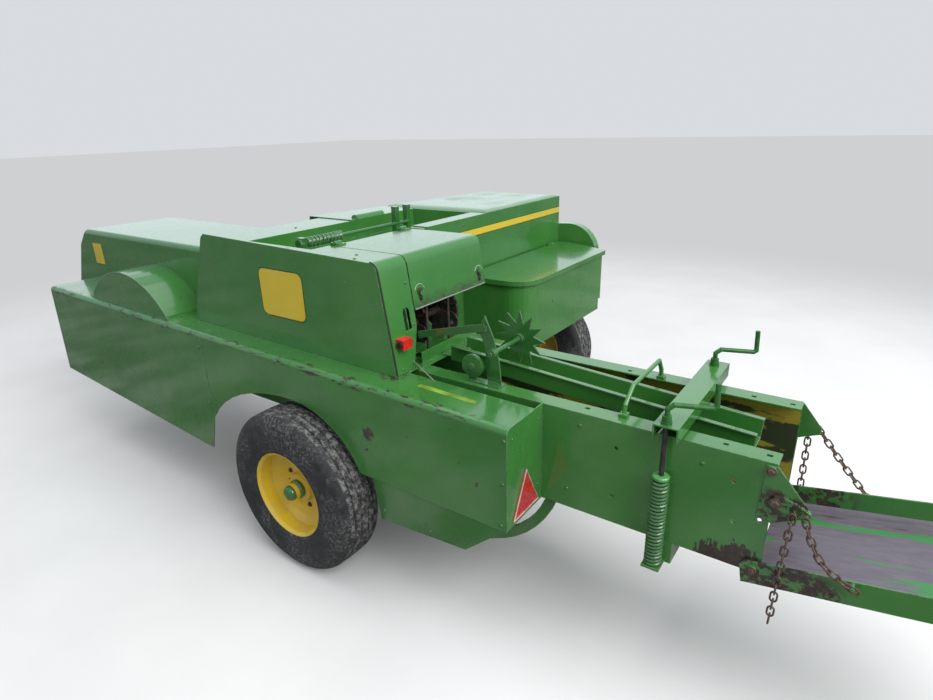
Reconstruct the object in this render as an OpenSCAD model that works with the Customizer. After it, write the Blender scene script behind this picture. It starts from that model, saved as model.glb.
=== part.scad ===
// Small square baler, towed: bale case on the left, pickup on the right.
// Built in millimetres. +X is the direction of travel, +Y the left side, +Z up.
// Inside the modules x = 0 is the rear end of the bale case, y = 0 its left
// face and z = 0 the ground; place() moves that to the middle of the machine.

/* [Bale case] */
// Outside width of the bale case
case_w = 475; // [465:1:485]
// Outside height of the bale case
case_h = 380; // [370:1:390]
// Height of the top of the case above the ground
case_top = 947; // [945:1:950]
// Thickness of the case walls
wall_t = 6; // [5:0.5:7]
// Width of the inturned top flanges
flange_w = 70; // [60:1:80]

/* [Wheels] */
// Outside diameter of the two road tyres
tyre_d = 748; // [730:1:756]
// Width of the road tyres
tyre_w = 222; // [205:1:224]
// Diameter of the rim's lips
rim_d = 394; // [380:1:410]

/* [Pickup] */
// Radius of the tine tips
tine_r = 295; // [280:1:300]
// Gaps between the stripper bands, each with a row of tines
tine_gaps = 18; // [14:1:19]
// Diameter of a tine
tine_d = 6; // [5:0.5:8]

/* [Metering] */
// Points of the star wheel
star_points = 12; // [10:1:14]
// Radius of the star wheel over its points
star_r = 112; // [104:1:114]

/* [Rear end] */
// Length of the bale chute
chute_len = 950; // [850:10:1050]
// Rise of the chute towards its rear end, in degrees
chute_rise = 10.3; // [9:0.1:11.5]
// Diameter of the tension springs
spring_d = 58; // [50:1:60]

/* [Tongue] */
// Length of the tongue from its pivot to the hitch pin
tongue_len = 1530; // [1450:10:1600]
// Diameter of the hitch pin hole
hitch_d = 33; // [28:0.5:36]

/* [Output] */
// Sub-part to show

/* [Hidden] */
green = [0.16, 0.42, 0.16];
yellow = [0.95, 0.78, 0.10];
dark = [0.16, 0.15, 0.14];
red = [0.75, 0.08, 0.08];
worn = [0.45, 0.43, 0.44];

case_bot = case_top - case_h;
inner_y = -case_w;
frame_end = 3560;          // front end of the case walls
roof_x = 1290;             // rear edge of the roof plate
plate_t = 6;
sheet = 4;

// side shields
shield_y = 239;
ledge_rear = 949;          // height of the ledge at its rear end
ledge_rise = 48;
shield_rear = 739;
shield_front = 3970;
ledge_bend = 22;           // radius of the ledge's outer edge
function ledge_z(x) = ledge_rear + ledge_rise * (x - shield_rear) / (shield_front - shield_rear);

// wheels
wheel_x = 1793;
wheel_r = tyre_d / 2;
left_y = 238;              // middle planes of the wheels
right_y = -1911;
spindle_r = 25;
fit = 0.05;

// hood over the plunger drive
hood_z = 1310;
hood_w = 557;
hood_side = 690;
hood_low = 1080;
hood_rear = 2450;
// feeder hood
feed_rear = 1700;
feed_right = -1985;
deck_z = 1390;
feed_z = deck_z + sheet;
deck_lap = 15;             // deck under the feeder hood's edge
deck_front = 2452;         // front edge of the deck's top
deck_split = -600;         // where the deck meets the feeder hood
lid_x = 1682;              // hinge of the twine box's lid
lid_hz = 1106;
lid_hinge_ys = [-1000, -1850];
feed_front_l = 2540;
feed_front_r = 2270;
recess = [1790, 2210, -1100, 50];   // x from, x to, y from, y to
recess_z = 1300;

// drive line and tongue
drive_y = -400;
fly_z = 980;
fly_r = 230;
pivot_x = 4030;
pin_r = 15;
tongue_h = 80;
tongue_z = 455;            // underside of the tongue's tube
lug_t = 15;
hitch_x = pivot_x + tongue_len;
hitch_nose = 45;
stand_x = 3720;
stand_z = 740;             // stand's hinge

// pickup
reel_x = 2720;
reel_z = 420;
band_r = 215;
pick_l = -772;             // inner faces of the side plates
pick_r = -2039;
pick_gap = 243;            // from the tyres to the lift pivot
pick_px = wheel_x + wheel_r + pick_gap;
pick_pz = 545;
side_t = 6;
reel_end = 14;            // reel shaft past the right plate

// chute
chute_px = 22;
chute_pz = 585;
chute_drop = 46;           // floor below the pivot
chute_top = 28;            // flange above the pivot
chute_pin = 8;
chute_flange_y = 6;
chute_flange_t = 5;

// machine's middle, from its outermost points
x_min = chute_px - chute_len * cos(chute_rise) - chute_drop * sin(chute_rise) - sheet * sin(chute_rise);
x_max = hitch_x + hitch_nose;
y_max = left_y + tyre_w / 2;
y_min = pick_r - side_t - reel_end;
mid_x = (x_min + x_max) / 2;
mid_y = (y_min + y_max) / 2;

// ---- helpers ----
module place() translate([-mid_x, -mid_y, 0]) children();
// box between two corners
module bx(x0, x1, y0, y1, z0, z1) translate([x0, y0, z0]) cube([x1 - x0, y1 - y0, z1 - z0]);
// outline in x and z, between two places across the machine
module side(pts, y0, y1) translate([0, y1, 0]) rotate([90, 0, 0]) linear_extrude(y1 - y0) polygon(pts);
// outline in x and y, between two heights
module plan(pts, z0, z1) translate([0, 0, z0]) linear_extrude(z1 - z0) polygon(pts);
// outline in y and z, between two places along the machine
module cross(pts, x0, x1) translate([x0, 0, 0]) rotate([90, 0, 90]) linear_extrude(x1 - x0) polygon(pts);
module cyl_x(y, z, r, x0, x1) translate([x0, y, z]) rotate([0, 90, 0]) cylinder(r = r, h = x1 - x0, $fn = 48);
module cyl_y(x, z, r, y0, y1) translate([x, y1, z]) rotate([90, 0, 0]) cylinder(r = r, h = y1 - y0, $fn = 48);
module cyl_z(x, y, r, z0, z1) translate([x, y, z0]) cylinder(r = r, h = z1 - z0, $fn = 48);
// round bar from a to b
module bar(a, b, r, fn = 24) {
    d = b - a;
    len = norm(d);
    translate(a) rotate([0, acos(d[2] / len), atan2(d[1], d[0])]) cylinder(r = r, h = len, $fn = fn);
}
// round bar through several points, with ball corners
module bent(p, r) {
    for (i = [0 : len(p) - 2]) bar(p[i], p[i + 1], r);
    for (i = [1 : len(p) - 2]) translate(p[i]) sphere(r = r + 0.3, $fn = 24);
}
// thin wire through several points, each stretch run on past the bend
module wire(p, r) for (i = [0 : len(p) - 2]) {
    d = (p[i + 1] - p[i]) / norm(p[i + 1] - p[i]) * r * 0.4;
    bar(p[i], p[i + 1] + d, r, 8);
}
// points of an arc about c
function arc(c, r, a0, a1, n) = [for (i = [0 : n]) c + r * [cos(a0 + (a1 - a0) * i / n), sin(a0 + (a1 - a0) * i / n)]];

// ---- bale case ----
// bolt holes in the case walls: x, z
wall_holes = [[25, 753], [93, 722], [107, 857], [469, 853], [473, 670]];
// square holes in the flanges: x, distance from the outer face
flange_holes = [[30, 40], [150, 42], [594, 45]];
// feed opening in the right wall: x from, x to, z from, z to
feed_gap = [1890, 2440, 610, 930];
module case_wall(y0, s) {
    difference() {
        union() {
            bx(0, frame_end, min(y0, y0 + s * wall_t), max(y0, y0 + s * wall_t), case_bot, case_top);
            bx(0, frame_end, min(y0, y0 + s * flange_w), max(y0, y0 + s * flange_w), case_top - wall_t, case_top);
        }
        for (h = wall_holes) cyl_y(h[0], h[1], 7, y0 - 20, y0 + 20);
        for (h = flange_holes) translate([h[0], y0 + s * h[1], case_top]) cube([16, 13, 40], center = true);
        cyl_y(chute_px, chute_pz, chute_pin + fit, y0 - 20, y0 + 20);
    }
}
module case_left() color(green) place() case_wall(0, -1);
module case_right() color(green) place() difference() {
    case_wall(inner_y, 1);
    bx(feed_gap[0], feed_gap[1], inner_y - 20, inner_y + 20, feed_gap[2], feed_gap[3]);
}
// slots for the needles: middle of each, across
needle_ys = [-130, -345];
module case_plates() color(green) place() {
    difference() {
        bx(60, frame_end, inner_y + wall_t, -wall_t, case_bot, case_bot + plate_t);
        for (y = needle_ys) bx(1180, 1470, y - 22, y + 22, case_bot - 5, case_bot + 20);
    }
    difference() {
        bx(roof_x, frame_end, inner_y, 0, case_top, case_top + plate_t);
        for (y = needle_ys) bx(1330, 1420, y - 22, y + 22, case_top - 5, case_top + 20);
    }
    // bar across the rear edge of the roof
    bx(1316, 1322, -440, -54, case_top + plate_t, case_top + plate_t + 50);
}
// channel that presses on the bale from above
rail_y = -237;
rail_w = 117;
rail_h = 70;
rail_lip = 12;             // outturned upper edges
rail_x = [88, 1262];
rail_rear = 935;
rail_slope = 3.55;
module density_rail() color(green) place() {
    translate([rail_x[0], 0, rail_rear]) rotate([0, -rail_slope, 0]) {
        len = (rail_x[1] - rail_x[0]) / cos(rail_slope);
        for (s = [-1, 1]) bx(0, len, rail_y + s * (rail_w / 2 - 2.5) - 2.5, rail_y + s * (rail_w / 2 - 2.5) + 2.5, -rail_h, 0);
        bx(0, len, rail_y - rail_w / 2, rail_y + rail_w / 2, -rail_h, -rail_h + 5);
        for (y = [rail_y - rail_w / 2 - rail_lip, rail_y + rail_w / 2 - 5]) bx(0, len, y, y + rail_lip + 5, -5, 0);
    }
    // saddle under the beam, foot on the roof plate
    bx(280, 325, rail_y - rail_w / 2, rail_y + rail_w / 2, 942, beam_top - beam_h);
    bx(1245, 1312, rail_y - rail_w / 2, rail_y + rail_w / 2, case_top + plate_t, case_top + plate_t + 6);
}
// cross channels above and below the case
beam_x = [264, 341];
beam_top = 1005;
beam_h = 50;
beam_y = [-553, 58];
rod_x = 308;
rod_off = spring_d / 2 + 4;   // rods outside the case walls
rod_ys = [inner_y - rod_off, rod_off];
rod_r = 8;
module beam(z0, z1) {
    difference() {
        bx(beam_x[0], beam_x[1], beam_y[0], beam_y[1], z0, z1);
        bx(beam_x[0] + 5, beam_x[1] - 5, beam_y[0] - 5, beam_y[1] + 5, z0 - 5, z1 - 5);
        for (y = rod_ys) cyl_z(rod_x, y, rod_r + 0.3, z0 - 5, z1 + 5);
    }
}
low_x = [260, 340];
low_h = 80;
seat_t = 8;                // seats of the springs
module density_beams() color(green) place() {
    beam(beam_top - beam_h, beam_top);
    difference() {
        bx(low_x[0], low_x[1], inner_y, 0, case_bot - low_h, case_bot);
        bx(low_x[0] + 5, low_x[1] - 5, inner_y + 5, -5, case_bot - low_h - 5, case_bot - 5);
    }
    for (y = [[-5, rod_ys[1] + spring_d / 2], [rod_ys[0] - spring_d / 2, inner_y + 5]])
        bx(rod_x - spring_d / 2, rod_x + spring_d / 2, y[0], y[1], case_bot - low_h, case_bot - low_h + seat_t);
}
// threaded rods with cranks: place across, lean of the crank's arm
module tension_rods() color(dark) place()
    for (y = rod_ys) {
        bent([[rod_x, y, 790], [rod_x, y, 1052], [rod_x - 16, y - 8, 1066], [rod_x - 116, y - 52, 1062], [rod_x - 124, y - 56, 1068], [rod_x - 120, y - 58, 1140]], rod_r);
        cyl_z(rod_x, y, 17, beam_top, beam_top + 8);
        cyl_z(rod_x, y, 14, beam_top + 8, beam_top + 26);
    }
spring_z = [case_bot - low_h + seat_t, 826];
coils = 24;
module tension_springs() color(green) place()
    for (y = rod_ys) translate([rod_x, y, 0]) {
        pitch = (spring_z[1] - spring_z[0]) / coils;
        r0 = spring_d / 2;
        rotate_extrude($fn = 32) polygon(concat([[rod_r + 0.3, spring_z[0]]],
            [for (i = [0 : coils - 1], k = [0, 1]) [r0 - (k == 0 ? 7 : 0), spring_z[0] + (i + k / 2) * pitch]],
            [[r0 - 7, spring_z[1]], [rod_r + 0.3, spring_z[1]]]));
    }
hoop_x = 470;
module case_hoop() color(green) place() {
    bent([[hoop_x, -53, case_top + 6], [hoop_x, -60, 985], [hoop_x, -120, 1032], [hoop_x, -380, 1032], [hoop_x, -415, 985], [hoop_x, -422, case_top + 6]], 8);
    for (y = [-52, -423]) bx(hoop_x - 14, hoop_x + 14, y - 14, y + 14, case_top, case_top + 12);
}
// metering arm, its upright and trip disc
star_x = 972;
star_z = 1070;
star_y = -237;
module meter_bracket() color(green) place() {
    difference() {
        side([[940, case_top], [1000, case_top], [1010, 1090], [1040, 1150], [1010, 1205], [975, 1130], [950, 1040]], -56, -50);
        cyl_y(star_x, star_z, 9 + fit, -80, -20);
    }
    bx(930, 1010, -68, -20, case_top, case_top + 5);
    difference() {
        cyl_y(star_x, star_z, 18, -50, -30);
        cyl_y(star_x, star_z, 9 + fit, -80, -20);
    }
    side([[1000, 1150], [1320, 1068], [1320, 1096], [1008, 1178]], -46, -40);
    bx(1000, 1014, -50, -40, 1150, 1168);
    side([[1030, case_top + 5], [1070, case_top + 5], [1062, 1000], [1040, 1000]], -32, -24);
    bx(1005, 1075, -40, -20, case_top, case_top + 6);
    cyl_y(1050, 1012, 45, -34, -20);
    cyl_y(1050, 1012, 12, -20, -12);
}
module star_wheel() color(green) place() {
    cyl_y(star_x, star_z, 9, -262, -22);
    translate([star_x, star_y + 2.5, star_z]) rotate([90, 0, 0]) linear_extrude(5)
        polygon([for (i = [0 : star_points - 1], k = [0, 1]) (k == 0 ? star_r : star_r * 0.56) * [cos((i + k / 2) * 360 / star_points), sin((i + k / 2) * 360 / star_points)]]);
    cyl_y(star_x, star_z, 20, star_y - 20, star_y + 14);
}
// ears that carry the chains
ear = [[-2, 940], [28, 940], [34, 770], [-4, 757], [-98, 808], [-98, 826]];
lug = [[-4, 855], [-40, 852], [-100, 826], [-98, 808], [2, 790]];
ear_right = [[-2, 940], [28, 940], [34, 800], [0, 812], [-64, 840], [-66, 862]];
lug_right = [[-2, 880], [-30, 876], [-66, 862], [-64, 840], [2, 815]];
module rear_ears() color(green) place() {
    side(ear, 0, 4);
    side(lug, 4, 12);
    side(ear_right, inner_y - 4, inner_y);
    side(lug_right, inner_y - 12, inner_y - 4);
    for (y = [[4, 12], [inner_y - 12, inner_y - 4]]) cyl_y(14, 926, 13, y[0], y[1]);
    // pins that carry the chains
    for (p = [[-57.7, 815], [-90.1, 815.4]]) cyl_y(p[0], p[1], 5, 8, 36);
    for (p = [[-26.9, 853], [-52.7, 850.1]]) cyl_y(p[0], p[1], 5, inner_y - 36, inner_y - 8);
}
// bale chute on its pivot bolts
module chute() color(green) place() translate([chute_px, 0, chute_pz]) rotate([0, chute_rise, 0]) {
    fy = [chute_flange_y, inner_y - chute_flange_y - chute_flange_t];
    for (y = fy) side([[-chute_len, -chute_drop - sheet], [-chute_len, chute_top], [20, chute_top], [34, 10], [34, -chute_drop - sheet]], y, y + chute_flange_t);
    bx(-chute_len, 10, fy[1], fy[0] + chute_flange_t, -chute_drop - sheet, -chute_drop);
    cyl_y(0, 0, 14, fy[0] + chute_flange_t, fy[0] + chute_flange_t + 8);
    cyl_y(0, 0, 14, fy[1] - 8, fy[1]);
    cyl_y(-257, 18.6, 5.7, fy[0] + chute_flange_t - 1, 36);
    cyl_y(-262.8, 3, 5.7, inner_y - 36, fy[1] + 1);
    cyl_y(0, 0, chute_pin, -wall_t - 3, fy[0] + 1);
    cyl_y(0, 0, chute_pin, fy[1] + chute_flange_t - 1, inner_y + wall_t + 3);
}
// one link along local x, flat in x and y
module link() {
    difference() {
        linear_extrude(6, center = true) polygon([[-20, -6], [-14, -12], [14, -12], [20, -6], [20, 6], [14, 12], [-14, 12], [-20, 6]]);
        linear_extrude(8, center = true) polygon([[-14, -4], [-11, -6], [11, -6], [14, -4], [14, 4], [11, 6], [-11, 6], [-14, 4]]);
    }
}
link_pitch = 27.4;
// chain of n links from a towards b
module chain(a, b, n, k0 = 0) {
    d = (b - a) / norm(b - a);
    for (i = [0 : n - 1]) translate(a + d * (i + 0.5) * link_pitch)
        rotate([0, acos(d[2]) - 90, atan2(d[1], d[0])]) rotate([(i + k0) % 2 == 0 ? 0 : 90, 0, 0]) link();
}
module hanging_chains() color(dark) place() {
    chain([-58, 30, 820], [-48, 30, 438], 14, 1);
    chain([-27.2, inner_y - 30, 858], [-36, inner_y - 30, 500], 10, 1);
}
module slack_chains() color(dark) place() {
    chain([-88, 30, 820], [-150, 30, 684], 5, 1);
    chain([-145.1, 30, 698.2], [-243, 30, 640], 4);
    chain([-49.5, inner_y - 30, 853.9], [-244.9, inner_y - 30, 624.5], 11, 1);
}

// ---- left side shields ----
shield_seam = 2410;        // rear shield's front edge
seam_x = shield_seam + 4;  // front shield's rear edge
front_side = [[seam_x, 548], [seam_x + 65, 352], [4002, 462], [3964, ledge_z(3964) + 20], [seam_x, ledge_z(seam_x) + 20]];
// wheel arch: an ellipse ahead of the wheel, a circle behind it
arch_gap = 42;             // from the tyre to the top of the arch
arch_front = 1.1 * (shield_seam - wheel_x);   // reach of the arch ahead of the wheel
side_low = 560;            // lower edge of the rear shield
arch_r = wheel_r + arch_gap;
arch_end = 180 - asin((side_low - wheel_r) / arch_r);
function arch_pt(a, run) = [wheel_x + run * cos(a), wheel_r + arch_r * sin(a)];
arch_start = acos((shield_seam - wheel_x) / arch_front);
rear_side = concat([[shield_seam, ledge_z(shield_seam) + 20], [shield_rear, ledge_rear + 20], [shield_rear, side_low]],
    [for (i = [0 : 7]) arch_pt(arch_end + (90 - arch_end) * i / 7, arch_r)], [for (i = [1 : 8]) arch_pt(90 + (arch_start - 90) * i / 8, arch_front)]);
// folded sheet along the ledge's slope: ledge, rounded bend and side
module fold_sheet(x0, x1) translate([x0 - 20, 0, ledge_z(x0 - 20)]) rotate([0, -atan(ledge_rise / (shield_front - shield_rear)), 0])
    cross(concat([[0, 0]], arc([shield_y - ledge_bend, -ledge_bend], ledge_bend, 90, 0, 8), [[shield_y, -700], [shield_y - sheet, -700]],
        arc([shield_y - ledge_bend, -ledge_bend], ledge_bend - sheet, 0, 90, 8), [[0, -sheet]]), 0, x1 - x0 + 80);
module front_shield() color(green) place() {
    intersection() {
        fold_sheet(seam_x, 3964);
        side(front_side, -5, shield_y + 5);
    }
    cross([[shield_y - 1, 470], [shield_y - 1, 970], [shield_y - 30, 970], [shield_y - 30, 470]], 3956, 3960);
}
module rear_shield() color(green) place() {
    difference() {
        intersection() {
            fold_sheet(shield_rear, shield_seam);
            side(rear_side, -5, shield_y + 5);
        }
        bx(shield_rear + sheet, 1298, -5, 54, 900, 1000);
    }
    cross(concat([[0, 566], [shield_y - 2, 562]], arc([shield_y - ledge_bend, ledge_rear - ledge_bend], ledge_bend - 2, 0, 90, 8), [[0, ledge_rear - 2]]), shield_rear, shield_rear + sheet);
}
module lower_skirt() color(green) place() {
    bx(770, 1350, shield_y - 2 * sheet, shield_y - sheet, 558, 600);
    translate([0, shield_y - sheet, 559]) rotate([-6, 0, 0]) side([[751, 0], [931, -168], [1352, -202], [1362, 0]], -sheet, 0);
}
module reflectors() color(red) place() {
    cross([[121, 748], [36, 587], [202, 585]], shield_rear - 5, shield_rear);
    bx(1316, 1346, -1788, -1785, 745, 800);
}
module gear_cover() color(green) place() {
    c = [3117, 689];
    r = 486;
    difference() {
        side(concat([[c[0] - 386, ledge_z(c[0] - 386) + 0.2]], arc(c, r, 141, 39, 20), [[c[0] + 386, ledge_z(c[0] + 386) + 0.2]]), 0, 208);
        side(concat([[c[0] - 382, 900]], arc(c, r - sheet, 140, 40, 20), [[c[0] + 382, 900]]), -10, 208 - sheet);
    }
}

// ---- needle drive panel, deck and knotter cover ----
deck_bend = 40;            // radius of the rear edge of deck and knotter cover
bend_a = 8.84;             // lean of their rear faces, in degrees
bend_c = [1405.6, deck_z - deck_bend];
foot_z = 957.75;
seam_y = -47;              // deck's edge beside the knotter cover
fold_x = 1500;
function rear_x(z) = 1304 + tan(bend_a) * (z - 957);
function fold(z0, x1) = concat([[rear_x(z0), z0]], arc(bend_c, deck_bend, 180 - bend_a, 90, 12), [[x1, deck_z], [x1, deck_z - sheet]],
    arc(bend_c, deck_bend - sheet, 90, 180 - bend_a, 12), [[rear_x(z0) + sheet / cos(bend_a), z0]]);
// front face of the deck, sloping as the panel's front edge does
function front_x(z) = deck_front + 0.39 * (deck_z - z);
front_foot = ledge_z(deck_front + 160) + 1;
cover_x = 1780;            // hinge of the knotter cover
cover_hz = deck_z + 7;
cover_hinge_ys = [-90, -510];
module side_panel() color(green) place()
    side(concat([[1304, ledge_z(1304) + 0.2]], arc(bend_c, deck_bend, 180 - bend_a, 90, 12), [[2436, 1415], [2460, 1396], [2626, ledge_z(2626) + 0.2]]), 113, 119);
module top_deck() color(green) place() {
    // rear strip with its slot, rounded bend and start of the top
    difference() {
        side(fold(foot_z, fold_x), seam_y, 113);
        cross([[seam_y - 5, 950], [10, 950], [seam_y - 5, 1134]], 1290, 1345);
        bx(1300, 1360, -18, 20, 1112, 1180);
        translate([0, 1, 0]) cyl_x(0, 1180, 19, 1300, 1360);
    }
    // top sheet with the recess left out
    difference() {
        plan([[fold_x, 113], [deck_front, 113], [deck_front, deck_split - deck_lap], [feed_rear + sheet, deck_split - deck_lap], [feed_rear + sheet, deck_split], [feed_rear, deck_split], [feed_rear, -566], [recess[0], -566], [recess[0], seam_y], [fold_x, seam_y]], deck_z - sheet, deck_z);
        bx(recess[0], recess[1], deck_split - 2 * deck_lap, recess[3], deck_z - 20, deck_z + 20);
    }
    // recess walls and bottom
    bx(recess[0], recess[0] + sheet, deck_split, recess[3], recess_z, deck_z - 12);
    bx(recess[1] - sheet, recess[1], deck_split, recess[3], recess_z, deck_z);
    bx(recess[0], recess[1], recess[3] - sheet, recess[3], recess_z, deck_z);
    bx(recess[0], recess[1], deck_split, recess[3], recess_z - sheet, recess_z);
    // front face down to the hood and to the ledge, and wall beside the cover
    side([[front_x(deck_z) - sheet, deck_z], [front_x(deck_z), deck_z], [front_x(hood_z), hood_z], [front_x(hood_z) - sheet, hood_z]], deck_split, 113);
    side([[front_x(hood_z) - sheet, hood_z], [front_x(hood_z), hood_z], [front_x(front_foot), front_foot], [front_x(front_foot) - sheet, front_foot]], 0, 113);
    side([[rear_x(foot_z) + 2, case_top + plate_t], [rear_x(1340) + 2, 1340], [1400, deck_z - 2], [recess[0], deck_z - 2], [recess[0], case_top + plate_t]], -4, 0);
    // lugs and pins of the knotter cover's hinge
    for (y = cover_hinge_ys) {
        bx(cover_x + 6, recess[0] + sheet, y + 20.3, y + 28, 1370, cover_hz + 4);
        bx(cover_x - 4, recess[0] + sheet, y + 20.3, y + 28, cover_hz - 4, cover_hz + 4);
        cyl_y(cover_x, cover_hz, 3.5, y - 20, y + 24);
    }
}
// spring, rod and upright lugs in the recess
tie_x = 2000;
tie_z = 1375;
module spring_rod() color(dark) place() {
    cyl_y(tie_x, tie_z, 9, -826, -90);
    translate([tie_x, 0, tie_z]) rotate([90, 0, 0]) rotate_extrude($fn = 32)
        polygon(concat([[9, 110]], [for (i = [0 : 9], k = [0, 1]) [17 + 7 * k, 110 + (i + k / 2) * 21]], [[17, 320], [9, 320]]));
    for (y = [-718, -808]) bx(tie_x - 8, tie_x + 22, y - 14, y + 14, recess_z, 1460);
    bx(tie_x - 18, tie_x + 18, -96, -70, recess_z, 1400);
    translate([tie_x, -60, tie_z]) rotate([90, 0, 0]) cylinder(r = 22, h = 20, $fn = 6);
}
cover_low = 1176;          // lower edge of the cover's rear face
cover_ys = [-550, -53];
module knotter_cover() color(green) place() {
    // folded sheet: rear face, rounded edge, top
    side(fold(cover_low, cover_x), cover_ys[0] + sheet, cover_ys[1]);
    side(concat([[rear_x(cover_low), cover_low]], arc(bend_c, deck_bend, 180 - bend_a, 90, 12), [[1690, deck_z], [1690, 1250], [1410, cover_low]]), cover_ys[0], cover_ys[0] + sheet);
    for (y = cover_hinge_ys) difference() {
        union() {
            cyl_y(cover_x, cover_hz, 8, y - 20, y + 20);
            bx(1750, cover_x, y - 20, y + 20, deck_z, deck_z + 6);
        }
        cyl_y(cover_x, cover_hz, 3.5 + fit, y - 30, y + 30);
    }
    // turn-button latches on the rear face
    for (y = [-99, -511]) cyl_x(y, 1236, 10, 1335, rear_x(1236) + 1.5);
}
// knotter shaft, cams, twine discs and frames
module knotters() color(dark) place() {
    x = 1480;
    z = 1075;
    cyl_y(x, z, 17, -466, -10);
    for (y = needle_ys) {
        cyl_y(x, z, 96, y - 58, y - 44);
        cyl_y(x, z, 52, y - 44, y - 34);
        side([[x - 30, case_top + plate_t], [x + 40, case_top + plate_t], [x + 26, z + 40], [x - 26, z + 40]], y - 34, y - 26);
        cyl_y(x - 70, z - 40, 40, y - 34, y - 26);
        side([[x - 100, z - 60], [x - 10, z - 70], [x - 10, z], [x - 100, z - 20]], y - 34, y - 27);
        bar([x - 70, y - 30, z - 45], [x - 118, y + 26, z - 30], 7);
        bar([x - 20, y - 30, z + 20], [x - 110, y - 30, z + 50], 8);
    }
    for (y = [-18, -250, -462]) bx(x - 22, x + 22, y - 4, y + 4, case_top + plate_t, z + 30);
    for (y = [-150, -296]) cyl_z(1362, y, 6, case_top + plate_t, 1190);
}
module bale_counter() color(red) place() {
    side([[1286, 1060], [rear_x(1060), 1060], [rear_x(1098), 1098], [1286, 1098]], 36, 86);
    for (y = [28, 86]) cyl_y(1302, 1079, 13, y, y + 8);
}

// ---- front ----
hood_outer = concat([[0, 958]], arc([-25, hood_z - 25], 25, 0, 90, 5), [[-hood_w + 12, hood_z], [-hood_w, hood_z - 8], [-hood_side, hood_low], [-hood_side, 600]]);
hood_inner = concat([[-sheet, 400]], arc([-25, hood_z - 25], 25 - sheet, 0, 90, 5), [[-hood_w + 14, hood_z - sheet], [-hood_w + 3, hood_z - 10], [-hood_side + sheet, hood_low - 2], [-hood_side + sheet, 400]]);
module front_hood() color(green) place() difference() {
    intersection() {
        cross(hood_outer, hood_rear, 4150);
        side([[hood_rear, 500], [hood_rear, 1400], [3888 + 62, 1400], [3888, hood_z], [3994, 1212], [4125, 960], [4125, 500]], -800, 50);
    }
    intersection() {
        cross(hood_inner, hood_rear - 50, 4200);
        side([[hood_rear - 50, 400], [hood_rear - 50, 1400], [3884, 1400], [3884, hood_z - sheet], [3990, 1208], [4056, 1080], [4300, 1080], [4300, 400]], -800, 50);
    }
    cyl_y(3240, 1010, 90, -hood_side - 20, -hood_side + 20);
}
module front_frame() color(green) place() {
    // rail under the case, bar across the front
    bx(1850, 3860, drive_y - 40, drive_y + 40, case_bot - 80, case_bot);
    bx(3860, 3950, -hood_side + sheet, shield_y - sheet, case_bot - 80, case_bot);
    // tongue lugs and pin
    bx(3950, 3965, drive_y - 60, drive_y + 60, 425, case_bot);
    for (z = [425, 545]) bx(3965, 4080, drive_y - 50, drive_y + 50, z, z + lug_t);
    cyl_z(pivot_x, drive_y, pin_r, 425, 575);
    // uprights that carry the hood
    bx(3880, 3930, -60, -10, case_bot, 1100);
    bx(3880, 3930, -hood_side + sheet, -640, case_bot, 1070);
    // stand bracket
    bx(stand_x - 60, stand_x + 60, -hood_side - 15, -hood_side, stand_z - 70, stand_z + 70);
    cyl_y(stand_x, stand_z, pin_r, -hood_side - 110, -hood_side - 15);
}
module gearbox() color(green) place() {
    difference() {
        union() {
            bx(3060, 3480, drive_y - 150, drive_y + 170, case_top + plate_t, 1190);
            bx(3480, 3570, drive_y - 60, drive_y + 60, case_top + plate_t, 1040);
        }
        cyl_x(drive_y, fly_z, 20 + fit, 3500, 3600);
    }
}
module flywheel() color(green) place() {
    translate([3620, drive_y, fly_z]) rotate([0, 90, 0]) difference() {
        rotate_extrude($fn = 72) polygon([[20, 0], [20, 110], [45, 110], [45, 70], [170, 62], [170, 100], [fly_r, 100], [fly_r, 0], [180, 0], [170, 42], [45, 42], [45, 0]]);
        for (i = [0 : 5]) rotate([0, 0, i * 60]) translate([110, 0, 0]) cylinder(r = 26, h = 200, $fn = 32);
    }
    cyl_x(drive_y, fly_z, 20, 3510, 3960);
    cyl_x(drive_y, fly_z, 34, 3880, 3960);
}
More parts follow.
